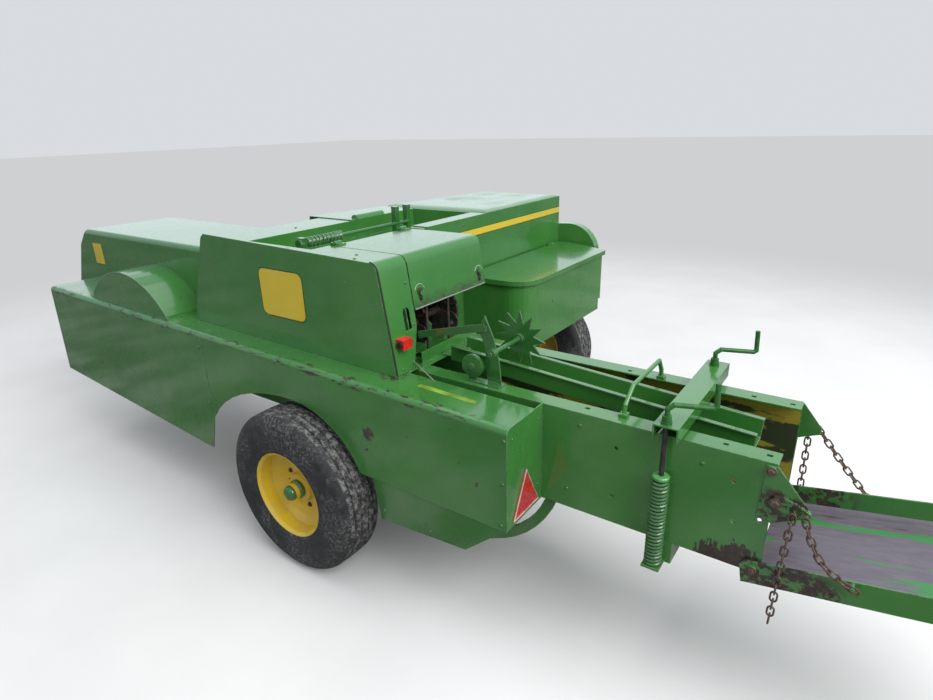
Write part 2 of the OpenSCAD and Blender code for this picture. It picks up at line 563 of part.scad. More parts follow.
// guarded drive shaft lying in the tongue's cradle
pto_a = [3985, drive_y, 972];
pto_b = [4900, drive_y, 830];
module pto_shaft() color(dark) place() difference() {
    union() {
        bar(pto_a, pto_a + (pto_b - pto_a) * 0.04, 62, 40);
        bar(pto_a, pto_a + (pto_b - pto_a) * 0.55, 36, 40);
        bar(pto_a + (pto_b - pto_a) * 0.5, pto_b, 30, 40);
        bar(pto_a + (pto_b - pto_a) * 0.94, pto_b, 52, 40);
        bar(pto_b, pto_b + (pto_b - pto_a) * 0.035, 26, 40);
    }
    bar(pto_a + (pto_b - pto_a) * 0.97, pto_b + (pto_b - pto_a) * 0.1, 17.5, 40);
}
cradle_x = 4740;
cradle_z = pto_a[2] + (pto_b[2] - pto_a[2]) * (cradle_x - pto_a[0]) / (pto_b[0] - pto_a[0]);   // middle of the shaft there
module tongue() color(green) place() {
    difference() {
        union() {
            cyl_z(pivot_x, drive_y, 45, 446, 539);
            bx(pivot_x + 30, hitch_x - 140, drive_y - 40, drive_y + 40, tongue_z, tongue_z + tongue_h);
        }
        cyl_z(pivot_x, drive_y, pin_r + fit, 400, 600);
    }
    // hitch plates
    difference() {
        union() for (z = [tongue_z - 15, tongue_z + tongue_h]) plan(concat([[hitch_x - 260, drive_y - 50]], arc([hitch_x - 5, drive_y], 50, -90, 90, 10), [[hitch_x - 260, drive_y + 50]]), z, z + 15);
        cyl_z(hitch_x, drive_y, hitch_d / 2, 400, 600);
    }
    // cradle for the drive shaft, with its braces
    difference() {
        bx(cradle_x, cradle_x + 12, drive_y - 60, drive_y + 60, tongue_z + tongue_h, cradle_z + 25);
        bar(pto_a, pto_b, 30, 40);
        bx(cradle_x - 5, cradle_x + 20, drive_y - 30, drive_y + 30, cradle_z, cradle_z + 75);
    }
    side([[cradle_x + 12, tongue_z + tongue_h + 15], [cradle_x + 110, tongue_z + tongue_h + 15], [cradle_x + 12, 700]], drive_y - 6, drive_y + 6);
    // sleeve and safety chain anchor
    bx(5000, 5090, drive_y - 55, drive_y - 40, tongue_z - 60, tongue_z + tongue_h + 40);
    bx(5000, 5090, drive_y + 40, drive_y + 55, tongue_z - 60, tongue_z + tongue_h + 40);
}
module stand_leg() color(green) place() {
    y0 = -hood_side - 100;
    difference() {
        union() {
            bx(stand_x - 30, stand_x + 30, y0, y0 + 60, 10, stand_z + 30);
            cyl_y(stand_x, stand_z, 30, y0, y0 + 80);
        }
        cyl_y(stand_x, stand_z, pin_r + fit, y0 - 20, y0 + 120);
    }
    bx(stand_x - 75, stand_x + 75, y0 - 35, y0 + 88, 0, 10);
}

// ---- axle and wheels ----
beam_l = 30;
beam_r = -1705;
module axle_beam() color(green) place() {
    bx(wheel_x - 45, wheel_x + 45, beam_r, beam_l, wheel_r - 45, wheel_r + 45);
    for (y = [-50, -440]) bx(wheel_x - 45, wheel_x + 45, y - 10, y + 10, wheel_r + 45, case_bot);
    bx(wheel_x - 35, wheel_x + 35, -1660, -1600, wheel_r + 45, 580);
    bx(wheel_x - 35, wheel_x + 110, -1670, -1590, 575, 585);
    cyl_y(wheel_x, wheel_r, spindle_r, beam_l, left_y + 15);
    cyl_y(wheel_x, wheel_r, spindle_r, right_y - 15, beam_r);
}
// half profile of the tyre, radius and place across, mirrored about 0
module tyre(yc) translate([wheel_x, yc, wheel_r]) rotate([-90, 0, 0]) {
    h = tyre_w / 2;
    rr = rim_d / 2 - 8;
    grooves = [-54, -20, 20, 54];
    difference() {
        rotate_extrude($fn = 96) polygon(concat(
            [[rr, -h + 26], [rim_d / 2 + 6, -h + 12], [rim_d / 2 + 52, -h], [wheel_r - 62, -h + 2], [wheel_r - 24, -h + 12], [wheel_r - 7, -h + 26], [wheel_r, -h + 48]],
            [[wheel_r, h - 48], [wheel_r - 7, h - 26], [wheel_r - 24, h - 12], [wheel_r - 62, h - 2], [rim_d / 2 + 52, h], [rim_d / 2 + 6, h - 12], [rr, h - 26]]));
        for (g = grooves) translate([0, 0, g - 4]) difference() {
            cylinder(r = wheel_r + 20, h = 8, $fn = 96);
            translate([0, 0, -1]) cylinder(r = wheel_r - 9, h = 10, $fn = 96);
        }
    }
}
// s is the side the wheel's face is on
module rim(yc, s) translate([wheel_x, yc, wheel_r]) rotate([-90 * s, 0, 0]) {
    h = tyre_w / 2;
    r = rim_d / 2;
    difference() {
        union() {
            rotate_extrude($fn = 96) polygon([[r - 9.5, -h + 23.5], [r, -h + 12], [r + 2, -h + 14], [r - 8.2, -h + 25.6], [r - 8.2, h - 25.6], [r + 2, h - 14], [r, h - 12], [r - 13, h - 24], [r - 13, 30], [150, 14], [120, 4], [70, 4], [64, 26], [40, 30], [34, 74], [0, 76], [0, 44], [spindle_r + fit, 44], [spindle_r + fit, -50], [46, -50], [50, -4], [118, -4], [150, 4], [r - 13, 18], [r - 13, -h + 26]]);
        }
        for (i = [0 : 4]) rotate([0, 0, i * 72]) translate([92, 0, -20]) cylinder(r = 7, h = 60, $fn = 16);
    }
}
module left_tyre() color(dark) place() tyre(left_y);
module left_rim() color(yellow) place() rim(left_y, 1);
module right_tyre() color(dark) place() tyre(right_y);
module right_rim() color(yellow) place() rim(right_y, -1);

// ---- feeder ----
end_panel = [[feed_rear, feed_z], [feed_front_r, feed_z], [2335, 1265], [2452, 720], [2440, 650], [2432, 645], [2225, 645], [2225, 800], [feed_rear, 800]];
module feeder_hood() color(green) place() {
    difference() {
        plan([[feed_rear, deck_split], [feed_front_l, deck_split], [feed_front_r, feed_right], [feed_rear, feed_right]], feed_z - sheet, feed_z);
        bx(recess[0], recess[1], recess[2], deck_split + 10, feed_z - 20, feed_z + 20);
    }
    bx(recess[0], recess[0] + sheet, recess[2], deck_split, recess_z, feed_z);
    bx(recess[1] - sheet, recess[1], recess[2], deck_split, recess_z, feed_z);
    bx(recess[0], recess[1], recess[2], recess[2] + sheet, recess_z, feed_z);
    bx(recess[0], recess[1], recess[2], deck_split, recess_z - sheet, recess_z);
    // rear face
    bx(feed_rear, feed_rear + sheet, feed_right, deck_split, 800, feed_z);
    bx(feed_rear, feed_rear + sheet, deck_split, -480, 800, deck_z - 12);
    // right end
    difference() {
        side(end_panel, feed_right, feed_right + sheet);
        cyl_y(auger_x, auger_z, 15 + fit, feed_right - 20, feed_right + 20);
    }
    // front lip
    translate([feed_front_r, feed_right, feed_z]) rotate([0, 0, -atan2(feed_front_l - feed_front_r, deck_split - feed_right)])
        side([[0, 0], [62, -136], [57, -136], [-6, -sheet]], 0, norm([feed_front_l - feed_front_r, deck_split - feed_right]) - 2);
    // lugs and pins of the twine lid's hinge
    for (y = lid_hinge_ys) {
        bx(lid_x, feed_rear, y + 30.3, y + 38, lid_hz - 3, lid_hz + 3);
        cyl_y(lid_x, lid_hz, 3.5, y - 30, y + 37);
    }
    // half-round cap on the front edge of the recess
    side(arc([2240, deck_z - 4], 26, 13, 167, 8), -860, -650);
}
module chain_cover() color(green) place()
    side(concat(arc([1620, 1030], 190, 262, 90, 14), arc([2020, 1000], 200, 82, -90, 14)), feed_right - 60, feed_right);
floor_front = pick_px - 22;
floor_z = 585;
auger_x = 2130;
auger_z = 870;
auger_r = 128;
module feeder_floor() color(green) place() {
    plan([[1860, inner_y], [floor_front - 58, inner_y], [floor_front - 58, -860], [floor_front, -860], [floor_front, -1780], [1860, -1780]], floor_z, floor_z + 6);
    cross([[inner_y, floor_z + 6], [-1780, floor_z + 6], [-1780, 800], [feed_right + sheet, 800], [feed_right + sheet, 1250], [inner_y, 1250]], 1860, 1864);
    // pickup brackets
    for (y = [-1750, -870]) difference() {
        side(concat([[floor_front - 58, floor_z], [floor_front, floor_z]], [for (a = [46, 0, -50, -100, -135]) [pick_px + 30 * cos(a), pick_pz + 32 * sin(a)]]), y - 6, y + 6);
        cyl_y(pick_px, pick_pz, 20 + fit, y - 20, y + 20);
    }
    // inner bearing of the auger
    difference() {
        bx(1864, auger_x + 40, -700, -690, auger_z - 40, auger_z + 40);
        cyl_y(auger_x, auger_z, 15 + fit, -720, -670);
    }
}
// auger that draws the crop to the case
module feeder_auger() color(yellow) place() {
    cyl_y(auger_x, auger_z, 15, feed_right + 0.5, -670);
    cyl_y(auger_x, auger_z, 32, -1900, -720);
    translate([auger_x, -1880, auger_z]) rotate([-90, 0, 0]) linear_extrude(1120, twist = 1440, slices = 80)
        polygon(concat([for (a = [-10, 0, 10]) auger_r * [cos(a), sin(a)]], [[24, 3], [24, -3]]));
}
// twine box: tub with a rounded rear left corner
tub = concat([[1700, -880], [1440, -880]], arc([1440, -1010], 130, 90, 180, 8), [[1310, -1785], [1700, -1785]]);
tub_in = concat([[1696, -884], [1440, -884]], arc([1440, -1010], 126, 90, 180, 8), [[1314, -1781], [1696, -1781]]);
tub_top = concat([[1700, -880], [1440, -880]], arc([1440, -1010], 130, 90, 180, 8), [[1310, -1812], [1480, -1900], [1700, -1960]]);
tub_top_in = concat([[1696, -884], [1440, -884]], arc([1440, -1010], 126, 90, 180, 8), [[1314, -1810], [1481, -1896], [1696, -1955]]);
module twine_box() color(green) place() {
    difference() {
        plan(tub, 735, 800);
        plan(tub_in, 739, 810);
    }
    difference() {
        plan(tub_top, 800, 1088);
        plan(tub_in, 790, 810);
        plan(tub_top_in, 804, 1100);
    }
}
lid_out = concat([[1682, -864], [1440, -864]], arc([1440, -1010], 146, 90, 180, 8), [[1294, -1822], [1472, -1914], [1682, -1974]]);
lid_in = concat([[1700, -873], [1440, -873]], arc([1440, -1010], 137, 90, 180, 8), [[1303, -1818], [1476, -1907], [1700, -1969]]);
module twine_lid() color(green) place() {
    difference() {
        plan(lid_out, 1076, 1102);
        plan(lid_in, 1070, 1098);
    }
    for (y = lid_hinge_ys) difference() {
        union() {
            cyl_y(lid_x, lid_hz, 7, y - 30, y + 30);
            bx(1660, lid_x, y - 30, y + 30, 1101, 1106);
        }
        cyl_y(lid_x, lid_hz, 3.5 + fit, y - 40, y + 40);
    }
}

// ---- needle yoke under the case ----
module needle_yoke() color(green) place() {
    cyl_y(945, 342, 20, inner_y - 40, 40);
    for (y = [30, inner_y - 40]) side([[930, 325], [1630, 590], [1640, 630], [1600, 640], [925, 365]], y, y + 10);
    for (y = [[0, 30], [inner_y - 30, inner_y]]) cyl_y(1615, 612, 18, y[0], y[1]);
    for (y = needle_ys) side([[930, 350], [945, 332], [1100, 352], [1250, 412], [1350, 500], [1372, 556], [1352, 552], [1330, 512], [1235, 436], [1092, 384]], y - 9, y + 9);
    // curved guard straps
    for (y = [-36, inner_y + 22]) side(concat([[685, case_bot]], arc([1120, 700], 455, 197.5, 272, 10), arc([1120, 700], 415, 272, 200, 10), [[728, case_bot]]), y, y + 14);
    bx(1110, 1136, inner_y + 22, -22, 245, 262);
}

// ---- pickup ----
pick_rear = pick_px - 40;   // rear edge of the side plates
pick_side = concat([[pick_rear, reel_z + 285]], arc([reel_x, reel_z], 285, 90, -96, 18), [[pick_rear, reel_z - 240]]);
module pickup_frame() color(yellow) place() {
    difference() {
        union() {
            for (y = [pick_r - side_t, pick_l]) side(pick_side, y, y + side_t);
            cyl_y(pick_px, pick_pz, 20, pick_r, pick_l);
        }
        cyl_y(reel_x, reel_z, 22 + fit, pick_r - 40, pick_l + 40);
    }
    difference() {
        side([for (p = [[-80, -8], [-60, -30], [20, -30], [20, 30], [-60, 30], [-80, 10]]) [pick_rear + p[0], 270 + p[1]]], pick_r, pick_r + 10);
        cyl_y(pick_rear - 52, 270, 11, pick_r - 20, pick_r + 30);
    }
}
band_w = 30;
band_x = pick_px - 6;      // rear ends of the bands
band_hold = 2;             // the cross bars' hold on the bands
pitch_y = (pick_l - pick_r) / (tine_gaps + 1);
module stripper_bands() color(green) place() {
    for (i = [0 : tine_gaps]) translate([0, pick_r + (i + 0.5) * pitch_y - band_w / 2, 0])
        side(concat([[band_x, reel_z + band_r]], arc([reel_x, reel_z], band_r, 90, -90, 10), [[band_x, reel_z - band_r], [band_x, reel_z - band_r + 3]], arc([reel_x, reel_z], band_r - 3, -90, 90, 10), [[band_x, reel_z + band_r - 3]]), 0, band_w);
    bx(band_x - 6, band_x + band_hold, pick_r, pick_l, reel_z + band_r - 10, reel_z + band_r);
    bx(band_x - 6, band_x + band_hold, pick_r, pick_l, reel_z - band_r, reel_z - band_r + 40);
}
// tine bars: angle about the reel
tine_bars = [20, 110, 200, 290];
bar_r = 140;
module pickup_reel() color(dark) place() {
    cyl_y(reel_x, reel_z, 22, pick_r - side_t - reel_end, pick_l + side_t + 10);
    for (y = [pick_r + 14, pick_l - 20]) cyl_y(reel_x, reel_z, 165, y, y + 5);
    for (a = tine_bars) {
        p = [reel_x + bar_r * cos(a), reel_z + bar_r * sin(a)];
        q = [reel_x + tine_r * cos(a - 9), reel_z + tine_r * sin(a - 9)];
        cyl_y(p[0], p[1], 12, pick_r + 14, pick_l - 15);
        for (i = [0 : tine_gaps - 1]) let (y = pick_r + (i + 1) * pitch_y) bar([p[0], y, p[1]], [q[0], y, q[1]], tine_d / 2, 6);
    }
}
// wires that hold the crop down over the pickup
guard_n = 11;
module wind_guard() color(worn) place() {
    cyl_y(2560, 790, 14, pick_r - side_t, pick_l + side_t);
    for (y = [pick_r - side_t, pick_l]) side([[2530, 660], [2590, 660], [2574, 790], [2546, 790]], y + (y < -1000 ? -6 : 6), y + (y < -1000 ? 0 : 12));
    for (i = [0 : guard_n - 1]) let (y = pick_r + 60 + i * (pick_l - pick_r - 120) / (guard_n - 1))
        wire([[2560, y, 800], [2790, y, 812], [2940, y, 740], [3040, y, 610], [3078, y, 470]], 5);
}

case_left();
case_right();
case_plates();
density_rail();
density_beams();
tension_rods();
tension_springs();
case_hoop();
meter_bracket();
star_wheel();
rear_ears();
chute();
hanging_chains();
slack_chains();
front_shield();
rear_shield();
lower_skirt();
reflectors();
gear_cover();
side_panel();
top_deck();
spring_rod();
front_hood();
front_frame();
gearbox();
flywheel();
pto_shaft();
tongue();
stand_leg();
axle_beam();
left_tyre();
left_rim();
right_tyre();
right_rim();
feeder_hood();
chain_cover();
feeder_floor();
feeder_auger();
twine_box();
twine_lid();
knotter_cover();
knotters();
bale_counter();
needle_yoke();
pickup_frame();
stripper_bands();
pickup_reel();
wind_guard();
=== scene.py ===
"""Looks of the small square baler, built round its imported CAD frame. Metres, +X forward, +Y left, +Z up."""

import math

import bmesh
import bpy
import numpy as np
from mathutils import Matrix, Vector, noise as mnoise


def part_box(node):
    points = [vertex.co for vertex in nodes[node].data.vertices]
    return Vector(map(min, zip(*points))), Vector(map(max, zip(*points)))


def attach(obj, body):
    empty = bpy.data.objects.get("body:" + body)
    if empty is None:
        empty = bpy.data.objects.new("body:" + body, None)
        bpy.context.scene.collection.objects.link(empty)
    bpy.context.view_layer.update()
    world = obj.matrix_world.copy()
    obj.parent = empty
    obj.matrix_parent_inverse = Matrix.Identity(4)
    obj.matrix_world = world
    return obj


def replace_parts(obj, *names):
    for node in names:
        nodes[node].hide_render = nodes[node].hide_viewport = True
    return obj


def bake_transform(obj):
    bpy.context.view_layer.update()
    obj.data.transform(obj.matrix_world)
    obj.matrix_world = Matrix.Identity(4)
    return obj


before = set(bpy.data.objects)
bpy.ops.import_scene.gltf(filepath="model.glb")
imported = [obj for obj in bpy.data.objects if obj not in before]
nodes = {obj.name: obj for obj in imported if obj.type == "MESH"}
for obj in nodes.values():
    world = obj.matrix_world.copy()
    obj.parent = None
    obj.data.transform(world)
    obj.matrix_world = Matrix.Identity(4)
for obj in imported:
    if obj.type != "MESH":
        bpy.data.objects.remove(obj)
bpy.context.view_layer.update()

# The machine's own zero: rear end and left face of the bale case, on the ground.
case_low, case_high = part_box("case_left")
ZERO = Vector((case_low.x, case_high.y, 0))
MM = 0.001


def at(x, y, z):
    """A point given in millimetres from the machine's own zero."""
    return ZERO + Vector((x, y, z)) * MM


# The shields' ledge: place and height of its rear and front ends
LEDGE_REAR, LEDGE_FRONT = (739, 949), (3970, 997)


# Camera, at the photograph's viewing angle

PHOTO_W, PHOTO_H = 933, 700
FOCAL_PX = 603.754
EYE = at(-147.5, 1678.4, 1859.2)
YAW, PITCH, ROLL = math.radians(-54.313), math.radians(20.644), math.radians(-1.571)


def make_camera():
    """Camera for the photograph's view; returns its forward direction."""
    forward = Vector((math.cos(YAW) * math.cos(PITCH), math.sin(YAW) * math.cos(PITCH), -math.sin(PITCH)))
    level = Vector((forward.y, -forward.x, 0)).normalized()
    upright = level.cross(forward)
    right = math.cos(ROLL) * level + math.sin(ROLL) * upright
    up = right.cross(forward)
    data = bpy.data.cameras.new("photo_camera")
    data.sensor_width = 36
    data.lens = FOCAL_PX * data.sensor_width / PHOTO_W
    data.clip_end = 200
    cam = bpy.data.objects.new("photo_camera", data)
    turn = Matrix((right, up, -forward)).transposed().to_4x4()
    cam.matrix_world = Matrix.Translation(EYE) @ turn
    bpy.context.scene.collection.objects.link(cam)
    bpy.context.scene.camera = cam
    return forward


# Node helpers for the materials

class Paints:
    """One material's node tree, with short calls for the nodes it uses."""

    def __init__(self, name):
        self.mat = bpy.data.materials.new(name)
        self.mat.use_nodes = True
        self.nt = self.mat.node_tree
        self.shader = self.nt.nodes["Principled BSDF"]
        coords = self.nt.nodes.new("ShaderNodeTexCoord")
        self.place = coords.outputs["Object"]

    def link(self, a, b):
        self.nt.links.new(a, b)

    def put(self, socket, value):
        if isinstance(value, bpy.types.NodeSocket):
            self.link(value, socket)
        elif isinstance(value, (tuple, list)) and len(value) == 3 and socket.type == "RGBA":
            socket.default_value = (*value, 1)
        else:
            socket.default_value = value

    def noise(self, scale, detail=4.0, rough=0.55, warp=0.0, stretch=None):
        n = self.nt.nodes.new("ShaderNodeTexNoise")
        n.inputs["Scale"].default_value = scale
        n.inputs["Detail"].default_value = detail
        n.inputs["Roughness"].default_value = rough
        n.inputs["Distortion"].default_value = warp
        self.link(self.moved(stretch), n.inputs["Vector"])
        return n.outputs["Fac"]

    def moved(self, stretch):
        if stretch is None:
            return self.place
        m = self.nt.nodes.new("ShaderNodeMapping")
        m.inputs["Scale"].default_value = stretch
        self.link(self.place, m.inputs["Vector"])
        return m.outputs["Vector"]

    def ramp(self, value, low, high, a=0.0, b=1.0):
        n = self.nt.nodes.new("ShaderNodeMapRange")
        n.interpolation_type = "SMOOTHSTEP"
        self.put(n.inputs["Value"], value)
        for key, v in (("From Min", low), ("From Max", high), ("To Min", a), ("To Max", b)):
            n.inputs[key].default_value = v
        return n.outputs["Result"]

    def calc(self, op, a, b=0.0):
        n = self.nt.nodes.new("ShaderNodeMath")
        n.operation = op
        n.use_clamp = op in ("ADD", "MULTIPLY")
        self.put(n.inputs[0], a)
        self.put(n.inputs[1], b)
        return n.outputs[0]

    def blend(self, fac, a, b):
        n = self.nt.nodes.new("ShaderNodeMix")
        n.data_type = "RGBA"
        self.put(n.inputs[0], fac)
        self.put(n.inputs[6], a)
        self.put(n.inputs[7], b)
        return n.outputs[2]

    def xyz(self):
        n = self.nt.nodes.new("ShaderNodeSeparateXYZ")
        self.link(self.place, n.inputs[0])
        return n.outputs

    def height(self):
        return self.xyz()[2]

    def near(self, point, radius):
        """1 at a point of the machine, fading to 0 at radius metres."""
        d = self.nt.nodes.new("ShaderNodeVectorMath")
        d.operation = "DISTANCE"
        self.link(self.place, d.inputs[0])
        d.inputs[1].default_value = point
        return self.ramp(d.outputs["Value"], 0.0, radius, 1.0, 0.0)

    def ledge_line(self, x):
        """Height of the shields' ledge at a place along the machine."""
        n = self.nt.nodes.new("ShaderNodeMapRange")
        n.clamp = False
        self.put(n.inputs["Value"], x)
        low, high = at(LEDGE_REAR[0], 0, LEDGE_REAR[1]), at(LEDGE_FRONT[0], 0, LEDGE_FRONT[1])
        for key, v in (("From Min", low.x), ("From Max", high.x), ("To Min", low.z), ("To Max", high.z)):
            n.inputs[key].default_value = v
        return n.outputs["Result"]

    def edges(self, radius):
        """1 along sharp edges, from the difference of the rounded and the true normal."""
        b = self.nt.nodes.new("ShaderNodeBevel")
        b.samples = 4
        b.inputs["Radius"].default_value = radius
        g = self.nt.nodes.new("ShaderNodeNewGeometry")
        d = self.nt.nodes.new("ShaderNodeVectorMath")
        d.operation = "DOT_PRODUCT"
        self.link(b.outputs["Normal"], d.inputs[0])
        self.link(g.outputs["Normal"], d.inputs[1])
        return self.ramp(d.outputs["Value"], 0.995, 0.86, 0.0, 1.0), b.outputs["Normal"]

    def bump(self, height, distance, strength=1.0, normal=None):
        n = self.nt.nodes.new("ShaderNodeBump")
        n.inputs["Distance"].default_value = distance
        n.inputs["Strength"].default_value = strength
        self.put(n.inputs["Height"], height)
        if normal is not None:
            self.link(normal, n.inputs["Normal"])
        return n.outputs["Normal"]

    def finish(self, colour, rough, normal=None, metal=0.0, **fixed):
        self.put(self.shader.inputs["Base Color"], colour)
        self.put(self.shader.inputs["Roughness"], rough)
        self.put(self.shader.inputs["Metallic"], metal)
        if normal is not None:
            self.link(normal, self.shader.inputs["Normal"])
        for key, v in fixed.items():
            self.shader.inputs[key.replace("_", " ")].default_value = v
        return self.mat


GREEN = (0.036, 0.172, 0.030)
GREEN_DARK = (0.026, 0.115, 0.026)
GREEN_OLD = (0.066, 0.225, 0.046)
YELLOW = (0.75, 0.50, 0.020)
RUST = (0.052, 0.026, 0.016)
RUST_DARK = (0.018, 0.011, 0.008)
STEEL = (0.36, 0.35, 0.34)
DUST = (0.30, 0.27, 0.22)


def paint(name, base, faded, wear=0.5, chips=0.5, rust_spots=(), rough=0.24, wave=1.0, radius=0.004,
          extra=None):
    """Old sheet-metal paint: faded in patches, worn along its edges, chipped, dusty and rusty in places."""
    p = Paints(name)
    broad = p.ramp(p.noise(1.7, 3.0), 0.35, 0.68)
    fine = p.noise(45, 5.0, 0.6)
    colour = p.blend(p.calc("MULTIPLY", broad, 0.6), base, faded)
    lighter = tuple(c * 1.4 for c in faded)
    mottled = p.blend(p.ramp(p.noise(12, 4.0, 0.6), 0.45, 0.75, 0.0, 0.10), colour, lighter)
    streaks = p.ramp(p.noise(9, 5.0, 0.6, stretch=(1.0, 1.0, 0.12)), 0.56, 0.80, 0.0, 0.07)
    dirty = p.blend(streaks, mottled, DUST)
    low = p.ramp(p.height(), 0.60, 0.22, 0.0, 0.24)
    splashes = p.calc("MULTIPLY", low, p.ramp(p.noise(14, 6.0, 0.7), 0.42, 0.7))
    splashed = p.blend(splashes, dirty, DUST)
    edge, rounded = p.edges(radius)
    broken = p.ramp(p.noise(38, 5.0, 0.7), 0.60 - 0.25 * wear, 0.72 - 0.2 * wear)
    worn_edge = p.calc("MULTIPLY", edge, broken)
    pale_edge = tuple(0.5 * (a + b) for a, b in zip(faded, (0.42, 0.50, 0.40)))
    bare = p.blend(p.ramp(p.noise(70, 3.0), 0.4, 0.6), STEEL, pale_edge)
    shown = p.blend(p.calc("MULTIPLY", worn_edge, 0.75), splashed, bare)
    pits = p.calc("MULTIPLY", p.ramp(p.noise(24, 1.5, 0.5), 0.775 - 0.05 * chips, 0.785 - 0.05 * chips),
                  p.ramp(p.noise(3.1, 2.0), 0.50, 0.60))
    chipped = p.blend(p.calc("MULTIPLY", pits, 0.9), shown, RUST)
    rusty = 0.0
    for point, reach in rust_spots:
        inside_reach = p.ramp(p.near(tuple(point), reach), 0.15, 0.6)
        spot = p.calc("MULTIPLY", inside_reach, p.ramp(p.noise(34, 5.0, 0.7), 0.47, 0.50))
        rusty = p.calc("ADD", rusty, spot)
    if extra is not None:
        rusty = p.calc("ADD", rusty, extra(p))
    marked = bool(rust_spots) or extra is not None
    rust_tone = p.blend(p.ramp(p.noise(55, 4.0), 0.35, 0.7), RUST_DARK, RUST)
    final = p.blend(rusty, chipped, rust_tone) if marked else chipped
    clean_rough = p.ramp(fine, 0.3, 0.8, rough - 0.03, rough + 0.05)
    rough_map = p.calc("ADD", clean_rough, p.calc("MULTIPLY", worn_edge, 0.15))
    if marked:
        rough_map = p.calc("ADD", rough_map, p.calc("MULTIPLY", rusty, 0.5))
    waves = p.bump(p.noise(2.6, 2.0, 0.4), 0.012 * wave, 0.6, rounded)
    grain = p.calc("ADD", p.calc("MULTIPLY", fine, 0.5), p.calc("MULTIPLY", pits, -0.8))
    skin = p.bump(grain, 0.00030, 0.35, waves)
    return p.finish(final, rough_map, skin, Coat_Weight=0.7, Coat_Roughness=0.09)


def ledge_chips(p):
    """Dark chips and scratches along the rounded edge of the shields' ledge."""
    x, y, z = p.xyz()
    over = p.calc("SUBTRACT", z, p.ledge_line(x))
    near_side = p.ramp(y, at(0, 196, 0).y, at(0, 214, 0).y)
    at_edge = p.calc("MULTIPLY", p.ramp(over, -0.040, -0.022), near_side)
    long_flecks = p.ramp(p.noise(60, 4.0, 0.7, stretch=(0.35, 1.0, 1.0)), 0.565, 0.580)
    groups = p.ramp(p.noise(2.3, 2.0), 0.42, 0.52)
    scattered = p.ramp(p.noise(30, 2.0, 0.6, stretch=(0.6, 1.0, 1.0)), 0.70, 0.71)
    return p.calc("MULTIPLY", at_edge, p.calc("ADD", p.calc("MULTIPLY", long_flecks, groups), scattered))


def case_rust(p):
    """Dark rust in fine streaks at the lower rear corner of the case's left wall."""
    patch = p.calc("MAXIMUM", p.near(tuple(at(75, 0, 590)), 0.15), p.near(tuple(at(150, 0, 583)), 0.10))
    streaks = p.noise(75, 5.0, 0.65, stretch=(1.0, 1.0, 0.30))
    amount = p.calc("ADD", p.calc("MULTIPLY", patch, 0.5), p.calc("MULTIPLY", streaks, 0.85))
    return p.ramp(amount, 0.73, 0.77)


def lower_grime(p):
    """Dark specks that grow denser towards the lower lip of the knotters' cover."""
    band = p.ramp(p.height(), 1.262, 1.176)
    small = p.calc("MULTIPLY", p.noise(150, 3.0, 0.6), 0.75)
    specks = p.calc("ADD", small, p.calc("MULTIPLY", p.noise(20, 3.0, 0.6), 0.25))
    limit = p.calc("SUBTRACT", 0.66, p.calc("MULTIPLY", band, 0.19))
    return p.calc("MULTIPLY", p.ramp(p.calc("SUBTRACT", specks, limit), 0.0, 0.02), 0.8)


def bare_metal(name, base, rusty, rough=0.45, scale=40, share=0.5, metal=0.75):
    p = Paints(name)
    n = p.noise(scale, 6.0, 0.7)
    mask = p.ramp(n, 0.62 - 0.3 * share, 0.75 - 0.3 * share)
    tone = p.blend(p.noise(scale * 2.3, 4.0), rusty, tuple(min(1, 2.1 * c) for c in rusty))
    colour = p.blend(mask, base, tone)
    return p.finish(colour, p.ramp(mask, 0, 1, rough, 0.85), p.bump(n, 0.0006, 0.7),
                    p.ramp(mask, 0, 1, metal, 0.0))


def plain(name, base, rough=0.5, variation=0.25, scale=30, bumpy=0.0003, metal=0.0, **fixed):
    p = Paints(name)
    n = p.noise(scale, 5.0, 0.6)
    darker = tuple(c * (1 - variation) for c in base)
    lighter = tuple(min(1, c * (1 + variation)) for c in base)
    colour = p.blend(p.ramp(n, 0.35, 0.7), darker, lighter)
    rough_map = p.ramp(n, 0.3, 0.7, rough - 0.08, rough + 0.08)
    return p.finish(colour, rough_map, p.bump(n, bumpy, 0.6), metal, **fixed)


def tyre_rubber():
    """Black rubber, varied in tone, with grey scuffs in scattered patches."""
    p = Paints("tyre_rubber")
    n = p.noise(34, 7.0, 0.7)
    base = p.blend(p.ramp(n, 0.35, 0.7), (0.012, 0.012, 0.013), (0.040, 0.040, 0.042))
    patches = p.ramp(p.noise(7, 3.0), 0.38, 0.6)
    scuffs = p.calc("MULTIPLY", p.ramp(p.noise(90, 6.0, 0.75), 0.47, 0.60), patches)
    colour = p.blend(p.calc("MULTIPLY", scuffs, 0.55), base, (0.22, 0.215, 0.21))
    return p.finish(colour, p.ramp(n, 0.3, 0.7, 0.55, 0.78), p.bump(n, 0.0008, 0.6), 0.0)


def tread_rubber():
    p = Paints("tread_rubber")
    n = p.noise(60, 7.0, 0.75)
    base = p.blend(p.ramp(n, 0.35, 0.7), (0.016, 0.016, 0.017), (0.055, 0.054, 0.052))
    scuffs = p.ramp(p.noise(45, 6.0, 0.8), 0.46, 0.60)
    colour = p.blend(p.calc("MULTIPLY", scuffs, 0.75), base, (0.27, 0.265, 0.255))
    return p.finish(colour, p.ramp(n, 0.3, 0.7, 0.6, 0.85), p.bump(n, 0.0012, 0.8), 0.0)


